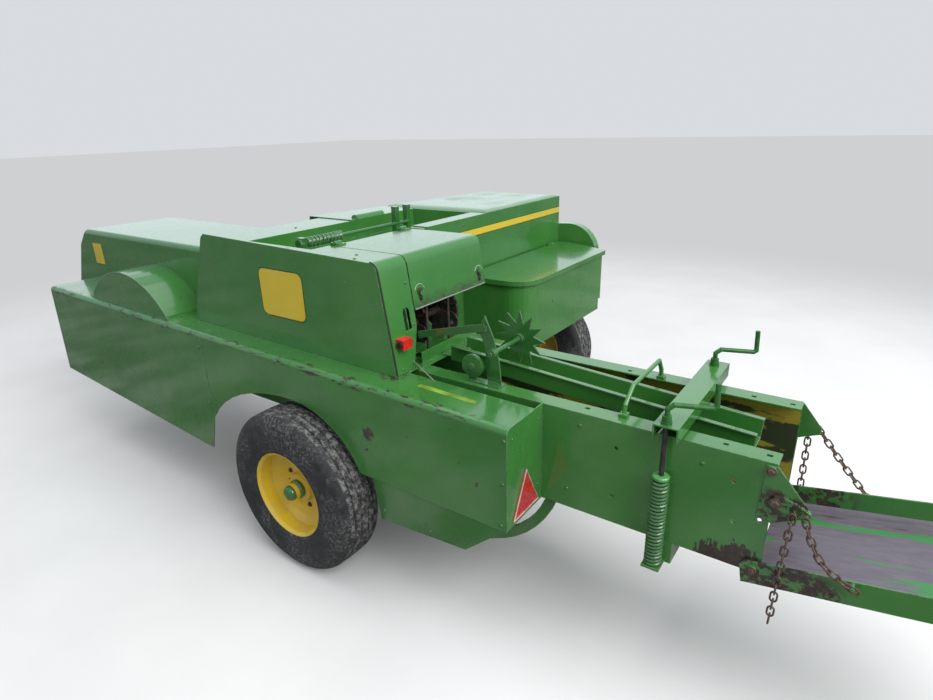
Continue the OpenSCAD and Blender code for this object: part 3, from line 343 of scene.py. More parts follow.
def chute_metal():
    """Chute floor worn bare: purplish grey, with green paint left in long streaks and patches of rust."""
    p = Paints("chute_metal")
    broad = p.noise(5.0, 4.0, 0.6, stretch=(0.18, 1.6, 1.0))
    fine = p.noise(60, 6.0, 0.7, stretch=(0.1, 1.0, 1.0))
    grey = p.blend(p.ramp(fine, 0.30, 0.75), (0.125, 0.108, 0.135), (0.185, 0.162, 0.195))
    left_over = p.ramp(broad, 0.52, 0.57)
    streaked = p.blend(left_over, grey, (0.055, 0.24, 0.075))
    rust = p.ramp(p.noise(4.0, 6.0, 0.7, stretch=(0.25, 1.8, 1.0)), 0.56, 0.66)
    colour = p.blend(rust, streaked, p.blend(fine, RUST, (0.16, 0.075, 0.05)))
    return p.finish(colour, p.ramp(fine, 0.3, 0.8, 0.30, 0.55), p.bump(fine, 0.0004, 0.5), 0.15)


def crank_paint():
    """Tension rods: dark bare steel below the upper beam, green cranks above it."""
    p = Paints("crank_paint")
    fine = p.noise(60, 5.0, 0.6)
    bare = p.blend(p.ramp(fine, 0.35, 0.7), (0.022, 0.017, 0.022), (0.055, 0.042, 0.050))
    painted = p.blend(p.ramp(fine, 0.4, 0.7), GREEN_DARK, GREEN)
    colour = p.blend(p.ramp(p.height(), 0.985, 0.995), bare, painted)
    return p.finish(colour, p.ramp(fine, 0.3, 0.8, 0.30, 0.5), p.bump(fine, 0.0003, 0.5), 0.2)


def inner_yellow():
    """Inside of the case: old yellow paint rubbed dark by the bales."""
    p = Paints("rubbed_yellow")
    n = p.noise(7, 5.0, 0.65, stretch=(0.5, 1.0, 1.8))
    colour = p.blend(p.ramp(n, 0.49, 0.54), (0.31, 0.25, 0.025), (0.030, 0.036, 0.012))
    return p.finish(colour, p.ramp(n, 0.3, 0.7, 0.35, 0.6), p.bump(n, 0.0005, 0.6), 0.0)


SHIELD_RUST = [(at(1360, 239, 756), 0.05), (at(1330, 100, 955), 0.09)]
CHUTE_RUST = [(at(-20, 0, 560), 0.20), (at(-140, 0, 560), 0.14), (at(-20, -475, 600), 0.3)]
EAR_RUST = [(at(-10, 10, 815), 0.10), (at(-70, 10, 815), 0.07)]

green = paint("green_paint", GREEN, GREEN_OLD)
green_case = paint("green_case", GREEN, GREEN_OLD, chips=0.9, extra=case_rust)
green_shield = paint("green_shield", GREEN, GREEN_OLD, wear=0.8, chips=0.6, rust_spots=SHIELD_RUST, wave=4.5,
                     extra=ledge_chips)
green_cover = paint("green_cover", GREEN, GREEN_OLD, extra=lower_grime)
green_chute = paint("green_chute", GREEN, GREEN_OLD, wear=0.8, chips=1.0, rust_spots=CHUTE_RUST)
green_ears = paint("green_ears", GREEN, GREEN_OLD, wear=0.7, rust_spots=EAR_RUST)
# Paler worn edges over a wider radius: partly real edge wear, partly a painted highlight that stands in for
# the bright rim of the gear cover; the density rail uses it too.
green_worn_edge_highlight = paint("green_worn_edge_highlight", GREEN, GREEN_OLD, wear=1.5, chips=0.7, radius=0.006)
green_parts = paint("green_parts", GREEN_DARK, GREEN, wear=0.9, chips=0.9, wave=0.3, radius=0.003)
cap_green = plain("cap_green", (0.10, 0.34, 0.10), 0.35, 0.2, 40, Coat_Weight=0.5)
yellow = paint("yellow_paint", YELLOW, (0.62, 0.43, 0.03), wear=0.7, chips=1.0, wave=0.2, rough=0.38)
dark_parts = bare_metal("greasy_steel", (0.05, 0.047, 0.042), (0.040, 0.022, 0.014), metal=0.5)
rusty_steel = bare_metal("rusty_steel", (0.12, 0.11, 0.10), (0.065, 0.034, 0.022), share=0.75, metal=0.4)
zinc = bare_metal("zinc_steel", (0.42, 0.41, 0.38), (0.16, 0.08, 0.04), share=0.25, scale=90)
rubber = plain("black_rubber", (0.012, 0.012, 0.012), 0.6)
red_glass = plain("red_reflector", (0.52, 0.012, 0.016), 0.25, 0.2, 60, 0.0002,
                  Coat_Weight=0.8, Coat_Roughness=0.1)


def counter_paint():
    """Red counter with dark wheels at both ends."""
    p = Paints("counter_red")
    y = p.xyz()[1]
    left_wheel = p.ramp(y, at(0, 86.2, 0).y, at(0, 86.4, 0).y)
    right_wheel = p.ramp(y, at(0, 35.8, 0).y, at(0, 35.6, 0).y)
    wheels = p.calc("ADD", left_wheel, right_wheel)
    spots = p.ramp(p.noise(60, 4.0), 0.55, 0.62)
    red = p.blend(spots, (0.66, 0.020, 0.016), (0.50, 0.012, 0.010))
    return p.finish(p.blend(wheels, red, (0.016, 0.014, 0.012)), 0.35, None, 0.0, Coat_Weight=0.4)


red_plastic = counter_paint()
guard_plastic = plain("guard_plastic", (0.62, 0.42, 0.03), 0.5, 0.3, 20)
sidewall = tyre_rubber()
tread = tread_rubber()
chute_floor = chute_metal()
case_inside = inner_yellow()
cranks = crank_paint()

CAD_MATERIALS = {
    green_case: ["case_left", "case_right", "case_plates"],
    green_worn_edge_highlight: ["density_rail", "gear_cover"],
    cranks: ["tension_rods"],
    green: ["density_beams", "case_hoop", "lower_skirt", "side_panel", "top_deck",
            "front_hood", "front_frame", "feeder_hood", "chain_cover", "feeder_floor", "twine_box",
            "twine_lid", "needle_yoke", "stripper_bands", "tongue", "stand_leg", "axle_beam", "gearbox",
            "flywheel"],
    green_shield: ["front_shield", "rear_shield"],
    green_cover: ["knotter_cover"],
    green_chute: ["chute"],
    green_ears: ["rear_ears"],
    green_parts: ["meter_bracket", "star_wheel", "tension_springs", "spring_rod"],
    yellow: ["left_rim", "right_rim", "pickup_frame", "feeder_auger"],
    dark_parts: ["knotters"],
    rusty_steel: ["hanging_chains", "slack_chains", "pickup_reel"],
    zinc: ["wind_guard"],
    red_glass: ["reflectors"],
    red_plastic: ["bale_counter"],
    guard_plastic: ["pto_shaft"],
    sidewall: ["left_tyre", "right_tyre"],
}
for material, names in CAD_MATERIALS.items():
    for name in names:
        nodes[name].data.materials.clear()
        nodes[name].data.materials.append(material)


# Shapes: small pieces collected into one mesh each

LEFT, RIGHT, UP, REAR = (0, 1, 0), (0, -1, 0), (0, 0, 1), (-1, 0, 0)


class Shape:
    def __init__(self):
        self.verts = []
        self.faces = []

    def add(self, verts, faces):
        n = len(self.verts)
        self.verts += [tuple(v) for v in verts]
        self.faces += [tuple(i + n for i in f) for f in faces]

    def sweep(self, path, radius, sides=10, closed=False):
        """A round bar along a path of points; radius is one number or one for each point."""
        pts = [Vector(p) for p in path]
        n = len(pts)
        radii = [radius] * n if isinstance(radius, (int, float)) else list(radius)
        tangents = []
        for i in range(n):
            a = pts[(i - 1) % n] if closed or i > 0 else pts[i]
            b = pts[(i + 1) % n] if closed or i < n - 1 else pts[i]
            tangents.append((b - a).normalized())
        side = tangents[0].orthogonal().normalized()
        verts = []
        for p, t, r in zip(pts, tangents, radii):
            side = (side - t * side.dot(t)).normalized()
            other = t.cross(side)
            for k in range(sides):
                a = 2 * math.pi * k / sides
                verts.append(p + (side * math.cos(a) + other * math.sin(a)) * r)
        faces = []
        for i in range(n if closed else n - 1):
            j = (i + 1) % n
            for k in range(sides):
                m = (k + 1) % sides
                faces.append((i * sides + k, i * sides + m, j * sides + m, j * sides + k))
        if not closed:
            faces.append(tuple(range(sides))[::-1])
            faces.append(tuple(range((n - 1) * sides, n * sides)))
        self.add(verts, faces)

    def lathe(self, centre, axis, profile, sides=24, closed_profile=False):
        """Rings of (radius, height) about an axis; a radius of 0 is a tip."""
        axis = Vector(axis).normalized()
        u = axis.orthogonal().normalized()
        w = axis.cross(u)
        centre = Vector(centre)
        verts = []
        for r, h in profile:
            for k in range(sides):
                a = 2 * math.pi * k / sides
                verts.append(centre + axis * h + (u * math.cos(a) + w * math.sin(a)) * r)
        rings = len(profile)
        faces = []
        for i in range(rings if closed_profile else rings - 1):
            j = (i + 1) % rings
            for k in range(sides):
                m = (k + 1) % sides
                faces.append((i * sides + k, i * sides + m, j * sides + m, j * sides + k))
        if not closed_profile:
            faces.append(tuple(range(sides))[::-1])
            faces.append(tuple(range((rings - 1) * sides, rings * sides)))
        self.add(verts, faces)

    def bolt(self, centre, axis, size=0.008):
        """Washer and hexagon head standing on a surface, facing along axis."""
        axis = Vector(axis).normalized()
        s = size
        self.lathe(centre, axis, [(1.25 * s, 0), (1.25 * s, 0.2 * s), (0.6 * s, 0.22 * s)], 20)
        self.lathe(Vector(centre) + axis * 0.2 * s, axis,
                   [(0.95 * s, 0), (0.95 * s, 0.55 * s), (0.8 * s, 0.68 * s)], 6)

    def rivet(self, centre, axis, size=0.006):
        dome = [(size * math.cos(a), 0.55 * size * math.sin(a)) for a in (0, 0.4, 0.8, 1.2, 1.5)]
        self.lathe(centre, axis, dome, 12)

    def plate(self, outline, base, u, v, thick, rim=0.0):
        """A flat plate: outline in (u, v) from base, thick along u x v, its edge eased by rim."""
        u, v = Vector(u).normalized(), Vector(v).normalized()
        n = u.cross(v)
        base = Vector(base)
        count = len(outline)
        mid = Vector((sum(p[0] for p in outline), sum(p[1] for p in outline))) / count
        layers = [(0.0, 0.0), (0.0, thick - rim), (rim, thick)] if rim else [(0.0, 0.0), (0.0, thick)]
        verts = []
        for inset, h in layers:
            for a, b in outline:
                q = Vector((a, b)) - mid
                q = mid + q * (1 - inset / max(q.length, 1e-6))
                verts.append(base + u * q[0] + v * q[1] + n * h)
        faces = []
        for i in range(len(layers) - 1):
            for k in range(count):
                m = (k + 1) % count
                faces.append((i * count + k, i * count + m, (i + 1) * count + m, (i + 1) * count + k))
        faces.append(tuple(range(count))[::-1])
        faces.append(tuple(range((len(layers) - 1) * count, len(layers) * count)))
        self.add(verts, faces)

    def make(self, name, material, body, slot=None, smooth=True, angle=35):
        mesh = bpy.data.meshes.new(name)
        mesh.from_pydata(self.verts, [], self.faces)
        mesh.materials.append(material)
        obj = bpy.data.objects.new(name, mesh)
        bpy.context.scene.collection.objects.link(obj)
        bm = bmesh.new()
        bm.from_mesh(mesh)
        bmesh.ops.recalc_face_normals(bm, faces=bm.faces)
        if smooth:
            limit = math.radians(angle)
            for f in bm.faces:
                f.smooth = True
            for e in bm.edges:
                if len(e.link_faces) == 2 and e.calc_face_angle(0) > limit:
                    e.smooth = False
        bm.to_mesh(mesh)
        bm.free()
        if body:
            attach(obj, body)
        return obj


def rounded(w, h, r, n=5):
    """Outline of a rounded rectangle, from (0, 0) to (w, h)."""
    pts = []
    for cx, cy, a0 in ((w - r, r, -90), (w - r, h - r, 0), (r, h - r, 90), (r, r, 180)):
        for i in range(n + 1):
            a = math.radians(a0 + 90 * i / n)
            pts.append((cx + r * math.cos(a), cy + r * math.sin(a)))
    return pts


# Chains of round links

LINK_PITCH = 0.0274


def chain(shape, path, first_turned=True):
    """Round links one pitch apart along a path, each turned a quarter from the last."""
    pts = [Vector(p) for p in path]
    lengths = [0.0]
    for a, b in zip(pts, pts[1:]):
        lengths.append(lengths[-1] + (b - a).length)

    def point(s):
        s = min(max(s, 0), lengths[-1])
        i = max(k for k in range(len(pts) - 1) if lengths[k] <= s + 1e-9)
        return pts[i].lerp(pts[i + 1], (s - lengths[i]) / (lengths[i + 1] - lengths[i]))

    count = int(lengths[-1] / LINK_PITCH)
    for i in range(count):
        s = (i + 0.5) * LINK_PITCH
        c, t = point(s), (point(s + 0.012) - point(s - 0.012)).normalized()
        across = Vector((0, 1, 0))
        flat = t.cross(across).normalized()
        turned = (i % 2 == 0) == first_turned
        w = flat if turned else across
        half, r = 0.0082, 0.0090
        loop = []
        for side in (1, -1):
            for k in range(7):
                a = math.pi * k / 6 - math.pi / 2
                loop.append(c + side * (t * (half + r * math.cos(a)) + w * (r * math.sin(a))))
        shape.sweep(loop, 0.0029, 8, closed=True)


def smooth_path(points, steps=8):
    """Points of a Catmull-Rom curve through the given ones."""
    p = [Vector(q) for q in points]
    p = [p[0] * 2 - p[1], *p, p[-1] * 2 - p[-2]]
    out = []
    for i in range(1, len(p) - 2):
        for k in range(steps):
            t = k / steps
            out.append(0.5 * (2 * p[i] + (p[i + 1] - p[i - 1]) * t
                              + (2 * p[i - 1] - 5 * p[i] + 4 * p[i + 1] - p[i + 2]) * t * t
                              + (3 * p[i] - p[i - 1] - 3 * p[i + 1] + p[i + 2]) * t ** 3))
    out.append(p[-2])
    return out


CHAIN_Y = (30, -505)
links = Shape()
chain(links, [at(-58, CHAIN_Y[0], 820), at(-52, CHAIN_Y[0], 640), at(-47, CHAIN_Y[0], 436)])
chain(links, [at(-27.2, CHAIN_Y[1], 858), at(-34, CHAIN_Y[1], 583.5)])
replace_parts(links.make("chain_ends", rusty_steel, "machine", "hanging_chains"), "hanging_chains")

SLACK = [
    ([(-88, 820), (-114, 754), (-146, 700), (-188, 668), (-243, 640)], CHAIN_Y[0], "near"),
    ([(-49.5, 853.9), (-100, 791), (-160, 719), (-245, 624)], CHAIN_Y[1], "far"),
]
slack = Shape()
for pts, y, side in SLACK:
    chain(slack, smooth_path([at(x, y, z) for x, z in pts]))
slack_piece = slack.make("chute_chains", rusty_steel, None, "slack_chains")
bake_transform(slack_piece)
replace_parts(slack_piece, "slack_chains")


# Tension springs

def spring(shape, centre, low, high, radius, wire, turns, taper=0.0, sides=8):
    steps = 22 * turns
    path = []
    for i in range(steps + 1):
        t = i / steps
        a = 2 * math.pi * turns * t
        r = radius - wire
        end = min(t, 1 - t) * turns
        if taper and t > 0.5 and end < 1:
            r -= taper * (1 - end)
        path.append(Vector(centre) + Vector((r * math.cos(a), r * math.sin(a), low + (high - low) * t)))
    shape.sweep(path, wire, sides)


rods_low, rods_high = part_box("tension_springs")
coil, caps = Shape(), Shape()
ROD_X, ROD_YS = 308, (-508, 33)
for y in ROD_YS:
    spring(coil, at(ROD_X, y, 0), rods_low.z + 0.005, rods_high.z - 0.014, 0.029, 0.0052, 24, 0.004)
    top = Vector((*at(ROD_X, y, 0).xy, rods_high.z - 0.012))
    caps.lathe(top, UP, [(0.0095, 0), (0.0255, 0), (0.0265, 0.002), (0.0265, 0.009), (0.024, 0.0115),
                         (0.0095, 0.0118)], 28)
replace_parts(coil.make("tension_coils", green_parts, "machine", "tension_springs"), "tension_springs")
caps.make("spring_caps", cap_green, "machine", "tension_springs")


# Wheels

WHEEL_X, AXLE_Z = 1793, 374
TREAD_FROM = 0.364
WHEELS = {"left": (238, 1), "right": (-1911, -1)}
TYRE_HALF = [(189, 84), (196, 94), (206, 101), (214, 104), (222, 103), (229, 106), (250, 110), (272, 111),
             (292, 110.5), (312, 108), (326, 104), (334, 103.5), (340, 100), (352, 93), (361, 86), (367, 78),
             (371, 68)]
TREAD_R, GROOVE_DEPTH, GROOVE_HALF = 373.5, 9, 4
GROOVES = (-54, -20, 20, 54)
TYRE_STEPS = 240
ZIGZAGS, ZIGZAG_DEPTH = 60, 1.8


def tyre_profile():
    """(radius, across, share of zigzag) from the left bead over the tread to the right bead."""
    out = [(r, -y, 0) for r, y in TYRE_HALF]
    for g in GROOVES:
        crown = TREAD_R - 2.2 * (g / 68) ** 2
        left, right, bottom = g - GROOVE_HALF, g + GROOVE_HALF, crown - GROOVE_DEPTH
        out += [(crown, left - 1, 1), (crown - 1.2, left, 1), (bottom, left + 1.5, 1),
                (bottom, right - 1.5, 1), (crown - 1.2, right, 1), (crown, right + 1, 1)]
    out += [(r, y, 0) for r, y in reversed(TYRE_HALF)]
    return out


for side, (wheel_y, face) in WHEELS.items():
    body = side + "_wheel"
    hub = at(WHEEL_X, wheel_y, AXLE_Z)
    profile = tyre_profile()
    verts, faces = [], []
    for i in range(TYRE_STEPS):
        a = 2 * math.pi * i / TYRE_STEPS
        wave = abs((i * ZIGZAGS / TYRE_STEPS) % 1.0 * 2 - 1) * 2 - 1
        for r, y, zig in profile:
            verts.append(hub + Vector((r * math.cos(a), y + ZIGZAG_DEPTH * wave * zig, r * math.sin(a))) * MM)
    rings = len(profile)
    for i in range(TYRE_STEPS):
        j = (i + 1) % TYRE_STEPS
        for k in range(rings):
            m = (k + 1) % rings
            faces.append((i * rings + k, i * rings + m, j * rings + m, j * rings + k))
    shape = Shape()
    shape.add(verts, faces)
    tyre = shape.make(side + "_tyre_rubber", sidewall, body, side + "_tyre", angle=40)
    tyre.data.materials.append(tread)
    for f in tyre.data.polygons:
        c = f.center - hub
        if math.hypot(c.x, c.z) > TREAD_FROM:
            f.material_index = 1
    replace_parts(tyre, side + "_tyre")

    fittings = Shape()
    for k in range(5):
        a = 2 * math.pi * (k + 0.5) / 5
        place = hub + Vector((0.092 * math.cos(a), face * 0.0042, 0.092 * math.sin(a)))
        fittings.bolt(place, (0, face, 0), 0.0095)
    fittings.make(side + "_wheel_nuts", rusty_steel, body, side + "_rim")
    cap = Shape()
    cap.lathe(hub, (0, face, 0),
              [(0.0345, 0.070), (0.0350, 0.080), (0.030, 0.090), (0.0225, 0.095), (0.0, 0.098)], 32)
    cap.lathe(hub, (0, face, 0), [(0.043, 0.030), (0.044, 0.044), (0.038, 0.052), (0.0345, 0.055)], 32)
    cap.make(side + "_hub_cap", green_parts, body, side + "_rim")
    valve = Shape()
    stem = hub + Vector((-0.128, face * 0.012, 0.062))
    bent, tip = Vector((0.004, face * 0.022, -0.002)), Vector((0.012, face * 0.036, -0.005))
    valve.sweep([stem, stem + bent, stem + tip], 0.004, 10)
    valve.make(side + "_valve", rubber, body, side + "_tyre")


# Bolts, rivets and small plates

SHIELD_Y = 239
REAR_LEAN = math.tan(math.radians(8.84))


def rear_x(z):
    """Rear faces of the side panel, the deck's strip and the knotters' cover."""
    return 1304 + REAR_LEAN * (z - 957)


fasteners = Shape()
for x, z in ((751, 905), (756, 744), (763, 579)):
    fasteners.rivet(at(x, SHIELD_Y, z), LEFT, 0.008)
for x, z in ((1325, 411), (1094, 407)):
    fasteners.bolt(at(x, SHIELD_Y - 20, z), LEFT, 0.007)
for x, z in ((2440, 612), (2440, 900), (3920, 940), (3920, 700), (3955, 480)):
    fasteners.rivet(at(x, SHIELD_Y, z), LEFT, 0.008)
for y, z in ((-22, 1290), (-30, 1125), (74, 975)):
    fasteners.rivet(at(rear_x(z), y, z), REAR, 0.007)
for x, y in ((1545, 34), (1900, 80), (2300, 80), (2300, -300), (1500, 90)):
    fasteners.rivet(at(x, y, 1390), UP, 0.007)
for x, z in ((200, 885), (600, 900), (640, 640), (1100, 900)):
    fasteners.rivet(at(x, 0, z), LEFT, 0.007)
for x, y in ((1480, -640), (1480, -900)):
    fasteners.rivet(at(1700, y, 1360), REAR, 0.007)
for y in (-700, -1100, -1500, -1900):
    fasteners.rivet(at(1700, y, 1240), REAR, 0.006)
for y in (-52, -423):
    for x in (461, 479):
        fasteners.rivet(at(x, y, 959), UP, 0.005)
for y, z in ((30, 640), (205, 900), (30, 900)):
    fasteners.rivet(at(739, y, z), REAR, 0.006)
fasteners.make("body_fasteners", green_parts, "machine", "front_shield")

bolts = Shape()
bolts.bolt(at(14, 12, 926), LEFT, 0.011)
bolts.bolt(at(14, -487, 926), RIGHT, 0.011)
bolts.bolt(at(-8, 12, 830), LEFT, 0.013)
for x, z in ((3660, 800), (3780, 800), (3660, 680), (3780, 680)):
    bolts.bolt(at(x, -705, z), RIGHT, 0.010)
for z in (446, 560):
    for y in (-440, -360):
        bolts.bolt(at(3990, y, z - 6 if z < 500 else z), (0, 0, -1) if z < 500 else UP, 0.009)
bolts.make("frame_bolts", rusty_steel, "machine", "front_frame")

pivots = Shape()
for y, way in ((19, LEFT), (-494, RIGHT)):
    pivots.bolt(at(22, y, 585), way, 0.011)
pivots.make("chute_pivot_bolts", rusty_steel, "bale_chute", "chute")


# Blank plates, stripes and reflectors

def on_left(shape, x0, x1, z0, z1, y, corner, thick):
    outline = rounded((x1 - x0) * MM, (z1 - z0) * MM, corner)
    shape.plate(outline, at(x1, y, z0), REAR, UP, thick, thick * 0.5)


def on_rear(shape, y0, y1, z0, z1, x, corner, thick):
    outline = rounded((y1 - y0) * MM, (z1 - z0) * MM, corner)
    shape.plate(outline, at(x, y1, z0), RIGHT, UP, thick, thick * 0.5)


sign_yellow = paint("sign_yellow", (0.70, 0.52, 0.02), (0.62, 0.50, 0.07), wear=0.2, chips=0.2, wave=0.2,
                    rough=0.35)
sign_faded = plain("sign_faded", (0.20, 0.34, 0.04), 0.4, 0.35, 18, 0.0002)
sign_border = plain("sign_border", (0.012, 0.045, 0.014), 0.4)

borders = Shape()
on_left(borders, 1783, 2065, 1093, 1306, 119.0, 0.034, 0.0006)
on_left(borders, 3725, 3840, 1106, 1240, 0.0, 0.006, 0.0006)
on_rear(borders, -1985, -602, 1287, 1328, 1700.0, 0.001, 0.0005)
borders.make("sign_borders", sign_border, "machine", "side_panel")
signs = Shape()
on_left(signs, 1787, 2061, 1097, 1302, 119.6, 0.031, 0.0007)
on_left(signs, 3729, 3836, 1110, 1236, 0.6, 0.004, 0.0006)
on_rear(signs, -1985, -604, 1290, 1325, 1699.5, 0.001, 0.0006)
signs.make("blank_signs", sign_yellow, "machine", "side_panel")
label = Shape()


def ledge_z(x):
    slope = (LEDGE_FRONT[1] - LEDGE_REAR[1]) / (LEDGE_FRONT[0] - LEDGE_REAR[0])
    return LEDGE_REAR[1] + slope * (x - LEDGE_REAR[0])


strip = [at(x, y, ledge_z(x) + 0.5) for x, y in ((1190, 112), (930, 118), (930, 142), (1190, 136))]
label.add([*strip, *[c + Vector((0, 0, 0.0006)) for c in strip]],
          [(3, 2, 1, 0), (4, 5, 6, 7), (0, 1, 5, 4), (1, 2, 6, 5), (2, 3, 7, 6), (3, 0, 4, 7)])
label.make("faded_strip", sign_faded, "machine", "rear_shield")

pale = plain("reflector_rim", (0.55, 0.42, 0.38), 0.4)
rim = Shape()
TRIANGLE = [(121, 748), (36, 587), (202, 585)]
corners = [at(733.2, y, z) for y, z in TRIANGLE]
rim.sweep(corners, 0.0028, 8, closed=True)
rim.make("triangle_rim", pale, "machine", "reflectors")


# Seals, latches and small fittings of the covers

BEND = [(1405.6 + 39 * math.cos(a), 1350 + 39 * math.sin(a)) for a in np.radians(np.linspace(171, 96, 14))]
seal = Shape()
seal.sweep([at(rear_x(962), 112.5, 962)] + [at(x, 112.5, z) for x, z in BEND], 0.0048, 10)
seal.make("panel_seal", rubber, "machine", "side_panel")

latches, scratches = Shape(), Shape()
for y, z in ((-99, 1240), (-511, 1231)):
    x = rear_x(z)
    latches.lathe(at(x, y, z), REAR,
                  [(0.016, 0), (0.016, 0.003), (0.010, 0.005), (0.009, 0.011), (0.0, 0.012)], 20)
    latches.plate(rounded(0.020, 0.050, 0.009), at(x - 2, y + 10, z - 40), RIGHT, UP, 0.004, 0.001)
    latches.bolt(at(x - 6, y, z - 28), REAR, 0.006)
    arc = [(y + 30 * math.cos(a), z + 30 * math.sin(a)) for a in np.radians(np.linspace(20, 165, 14))]
    scratches.sweep([at(rear_x(h) - 0.5, across, h) for across, h in arc], 0.0014, 6)
latches.make("cover_latches", dark_parts, "knotter_lid", "knotter_cover")
bare_scratch = plain("bare_scratch", (0.42, 0.50, 0.40), 0.35)
scratches.make("latch_scratches", bare_scratch, "knotter_lid", "knotter_cover")
lip = Shape()
lip.sweep([at(rear_x(1176) + 1, -547, 1177), at(rear_x(1176) + 1, -56, 1177)], 0.0032, 8)
lip.make("cover_lip", zinc, "knotter_lid", "knotter_cover")

stay = Shape()
stay.sweep([at(1310, 7, 987), at(1240, 36, 973), at(1166, 64, 957)], 0.0022, 8)
stay.make("stay_wire", zinc, "machine", "spring_rod")

recess_spring = Shape()
tie = at(2000, -320, 1375)
turns, steps, coil_r, coil_long = 9, 9 * 20, 0.021, 0.205
windings = []
for i in range(steps + 1):
    a = 2 * math.pi * turns * i / steps
    windings.append(tie + Vector((coil_r * math.cos(a), coil_long * i / steps, coil_r * math.sin(a))))
recess_spring.sweep(windings, 0.0038, 8)
recess_spring.make("recess_spring", green_parts, "machine", "spring_rod")


# Skins: worn chute floor, rubbed inside of the case, dented top of the feeder hood

CHUTE_RISE = math.radians(10.3)


def on_chute(x, y, z):
    """A point in millimetres from the chute's pivot, along and above the chute."""
    c, s = math.cos(CHUTE_RISE), math.sin(CHUTE_RISE)
    return at(22 + x * c + z * s, y, 585 - x * s + z * c)


def grid_piece(name, point, nu, nv, thick, material, body, slot):
    """A thin sheet over a grid of points, with its underside."""
    verts = [point(i / nu, j / nv) for i in range(nu + 1) for j in range(nv + 1)]
    count = len(verts)
    verts += [v - Vector((0, 0, thick)) for v in verts]
    faces = []
    w = nv + 1
    for i in range(nu):
        for j in range(nv):
            a = i * w + j
            faces.append((a, a + w, a + w + 1, a + 1))
            faces.append((count + a, count + a + 1, count + a + w + 1, count + a + w))
    ring = [i * w for i in range(nu + 1)] + [nu * w + j for j in range(1, nv + 1)]
    ring += [i * w + nv for i in range(nu - 1, -1, -1)] + [j for j in range(nv - 1, 0, -1)]
    for a, b in zip(ring, ring[1:] + ring[:1]):
        faces.append((a, count + a, count + b, b))
    shape = Shape()
    shape.add(verts, faces)
    return shape.make(name, material, body, slot, angle=50)


def floor_point(u, v):
    """A point of the chute's floor, turned up at both sides and slightly uneven."""
    x = -948 + 955 * u
    y = -480 + 485 * v
    edge = min(v, 1 - v) * 485
    lift = 1.2 + max(0, 14 - edge) ** 2 * 0.045
    lift += 0.8 * mnoise.noise(Vector((x * 0.006, y * 0.02, 3.1)))
    return on_chute(x, y, -46 + max(0.8, lift))


grid_piece("chute_floor_wear", floor_point, 60, 40, 0.0006, chute_floor, "bale_chute", "chute")

inside = Shape()
long, tall = 1.24, 0.355
inside.plate([(0, 0), (long, 0), (long, tall), (0, tall)], at(3, -468.6, 578), (1, 0, 0), UP, -0.0006)
inside.make("case_inside_wear", case_inside, "machine", "case_right")

TOP_Z = 1394
DENTS = [(2060, -1560, 150, 11.0), (2190, -1480, 90, 8.0), (1900, -1780, 120, 7.5), (2120, -1760, 110, 7.0),
         (1820, -1380, 110, 6.0)]


def top_point(u, v):
    """A point of the feeder's top: crowned inside its rim, with dents and one sharp ridge."""
    y = -1114 - 862 * v
    front = 2540 + (2270 - 2540) * (y + 600) / (-1985 + 600)
    x = 1704 + (front - 8 - 1704) * u
    rim_share = min(1.0, 14 * min(u, 1 - u, v, 1 - v))
    crown = 12.0 * (1 - (1 - rim_share) ** 2)
    dent = 0.0
    for cx, cy, reach, depth in DENTS:
        d = math.hypot(x - cx, (y - cy) * 0.8) / reach
        dent += depth * math.exp(-2.2 * d * d)
    across_ridge = (x - 1990 - 0.35 * (y + 1560)) / 16
    ridge = 3.0 * math.exp(-across_ridge ** 2) * math.exp(-((y + 1560) / 130) ** 2)
    bow = 1.3 * mnoise.noise(Vector((x * 0.004, y * 0.004, 1.7)))
    return at(x, y, TOP_Z + 0.6 + max(0.0, crown - min(dent, 11.5) + ridge + bow * rim_share))


grid_piece("feeder_top_skin", top_point, 80, 90, 0.0004, green, "machine", "feeder_hood")


# Floor, lamps and world

def floor_paint():
    """Pale where the camera sees it, even towards the horizon; darker and patchy where it is mirrored."""
    p = Paints("floor")
    seen = p.nt.nodes.new("ShaderNodeLightPath").outputs["Is Camera Ray"]
    pale = p.blend(p.ramp(p.noise(1.5, 4.0), 0.3, 0.7), (0.76, 0.76, 0.755), (0.80, 0.80, 0.795))
    patches = p.ramp(p.noise(1.9, 5.0, 0.6), 0.42, 0.58)
    thrown = p.blend(patches, (0.10, 0.10, 0.098), (0.38, 0.38, 0.372))
    p.finish(p.blend(seen, thrown, pale), 0.9, Specular_IOR_Level=0.1)
    glow = p.nt.nodes.new("ShaderNodeEmission")
    glow.inputs["Color"].default_value = FAR_FLOOR
    mixed = p.nt.nodes.new("ShaderNodeMixShader")
    far = p.calc("SUBTRACT", 1.0, p.near((0, 0, 0), 11.0))
    p.put(mixed.inputs[0], p.calc("MULTIPLY", seen, p.ramp(far, 0.28, 0.75)))
    p.link(p.shader.outputs["BSDF"], mixed.inputs[1])
    p.link(glow.outputs["Emission"], mixed.inputs[2])
    out = p.nt.nodes["Material Output"]
    p.link(mixed.outputs["Shader"], out.inputs["Surface"])
    return p.mat


FAR_FLOOR = (0.62, 0.63, 0.64, 1)


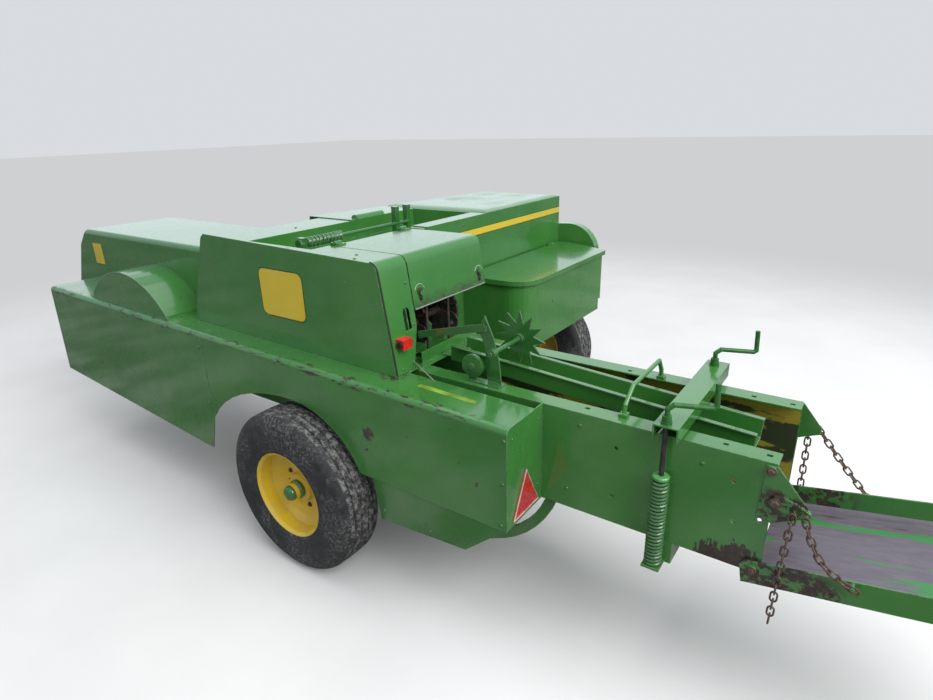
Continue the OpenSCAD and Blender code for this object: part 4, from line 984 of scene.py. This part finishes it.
def stage_and_light(forward):
    """Pale floor, even sky and three large lamps, placed by the camera's direction."""
    mesh = bpy.data.meshes.new("floor")
    size = 60
    corners = [(-size, -size, 0), (size, -size, 0), (size, size, 0), (-size, size, 0)]
    mesh.from_pydata(corners, [], [(0, 1, 2, 3)])
    floor = bpy.data.objects.new("floor", mesh)
    bpy.context.scene.collection.objects.link(floor)
    mesh.materials.append(floor_paint())

    world = bpy.data.worlds.new("studio")
    bpy.context.scene.world = world
    world.use_nodes = True
    nt = world.node_tree
    back = nt.nodes["Background"]
    path = nt.nodes.new("ShaderNodeLightPath")
    shown = nt.nodes.new("ShaderNodeMath")
    shown.operation = "MAXIMUM"
    nt.links.new(path.outputs["Is Camera Ray"], shown.inputs[0])
    nt.links.new(path.outputs["Is Glossy Ray"], shown.inputs[1])
    strength = nt.nodes.new("ShaderNodeMapRange")
    strength.inputs["To Min"].default_value = 0.67
    strength.inputs["To Max"].default_value = 0.74
    nt.links.new(shown.outputs[0], strength.inputs["Value"])
    nt.links.new(strength.outputs["Result"], back.inputs["Strength"])
    tint = nt.nodes.new("ShaderNodeMix")
    tint.data_type = "RGBA"
    nt.links.new(path.outputs["Is Glossy Ray"], tint.inputs[0])
    tint.inputs[6].default_value = (0.93, 0.96, 1.0, 1)
    tint.inputs[7].default_value = (0.78, 0.92, 1.0, 1)
    nt.links.new(tint.outputs[2], back.inputs["Color"])

    aim = at(1900, -500, 600)
    flat_forward = Vector((forward.x, forward.y, 0)).normalized()
    right = Vector((flat_forward.y, -flat_forward.x, 0))
    lamps = [
        ("key", aim - flat_forward * 5 + right * 4.5 + Vector((0, 0, 5)), 6.0, 4.5, 560),
        ("top", aim + Vector((0, 0, 8)), 9.0, 7.0, 190),
        ("sky", aim + flat_forward * 12 + Vector((0, 0, 5.0)), 22.0, 8.0, 240),
    ]
    for name, place, wide, tall, watts in lamps:
        data = bpy.data.lights.new(name, "AREA")
        data.shape = "RECTANGLE"
        data.size, data.size_y = wide, tall
        data.energy = watts
        lamp = bpy.data.objects.new(name, data)
        lamp.location = place
        lamp.rotation_mode = "QUATERNION"
        lamp.rotation_quaternion = (aim - place).to_track_quat("-Z", "Y")
        lamp.visible_camera = False
        bpy.context.scene.collection.objects.link(lamp)


stage_and_light(make_camera())
bpy.context.scene.view_settings.view_transform = "Standard"

bpy.context.view_layer.update()
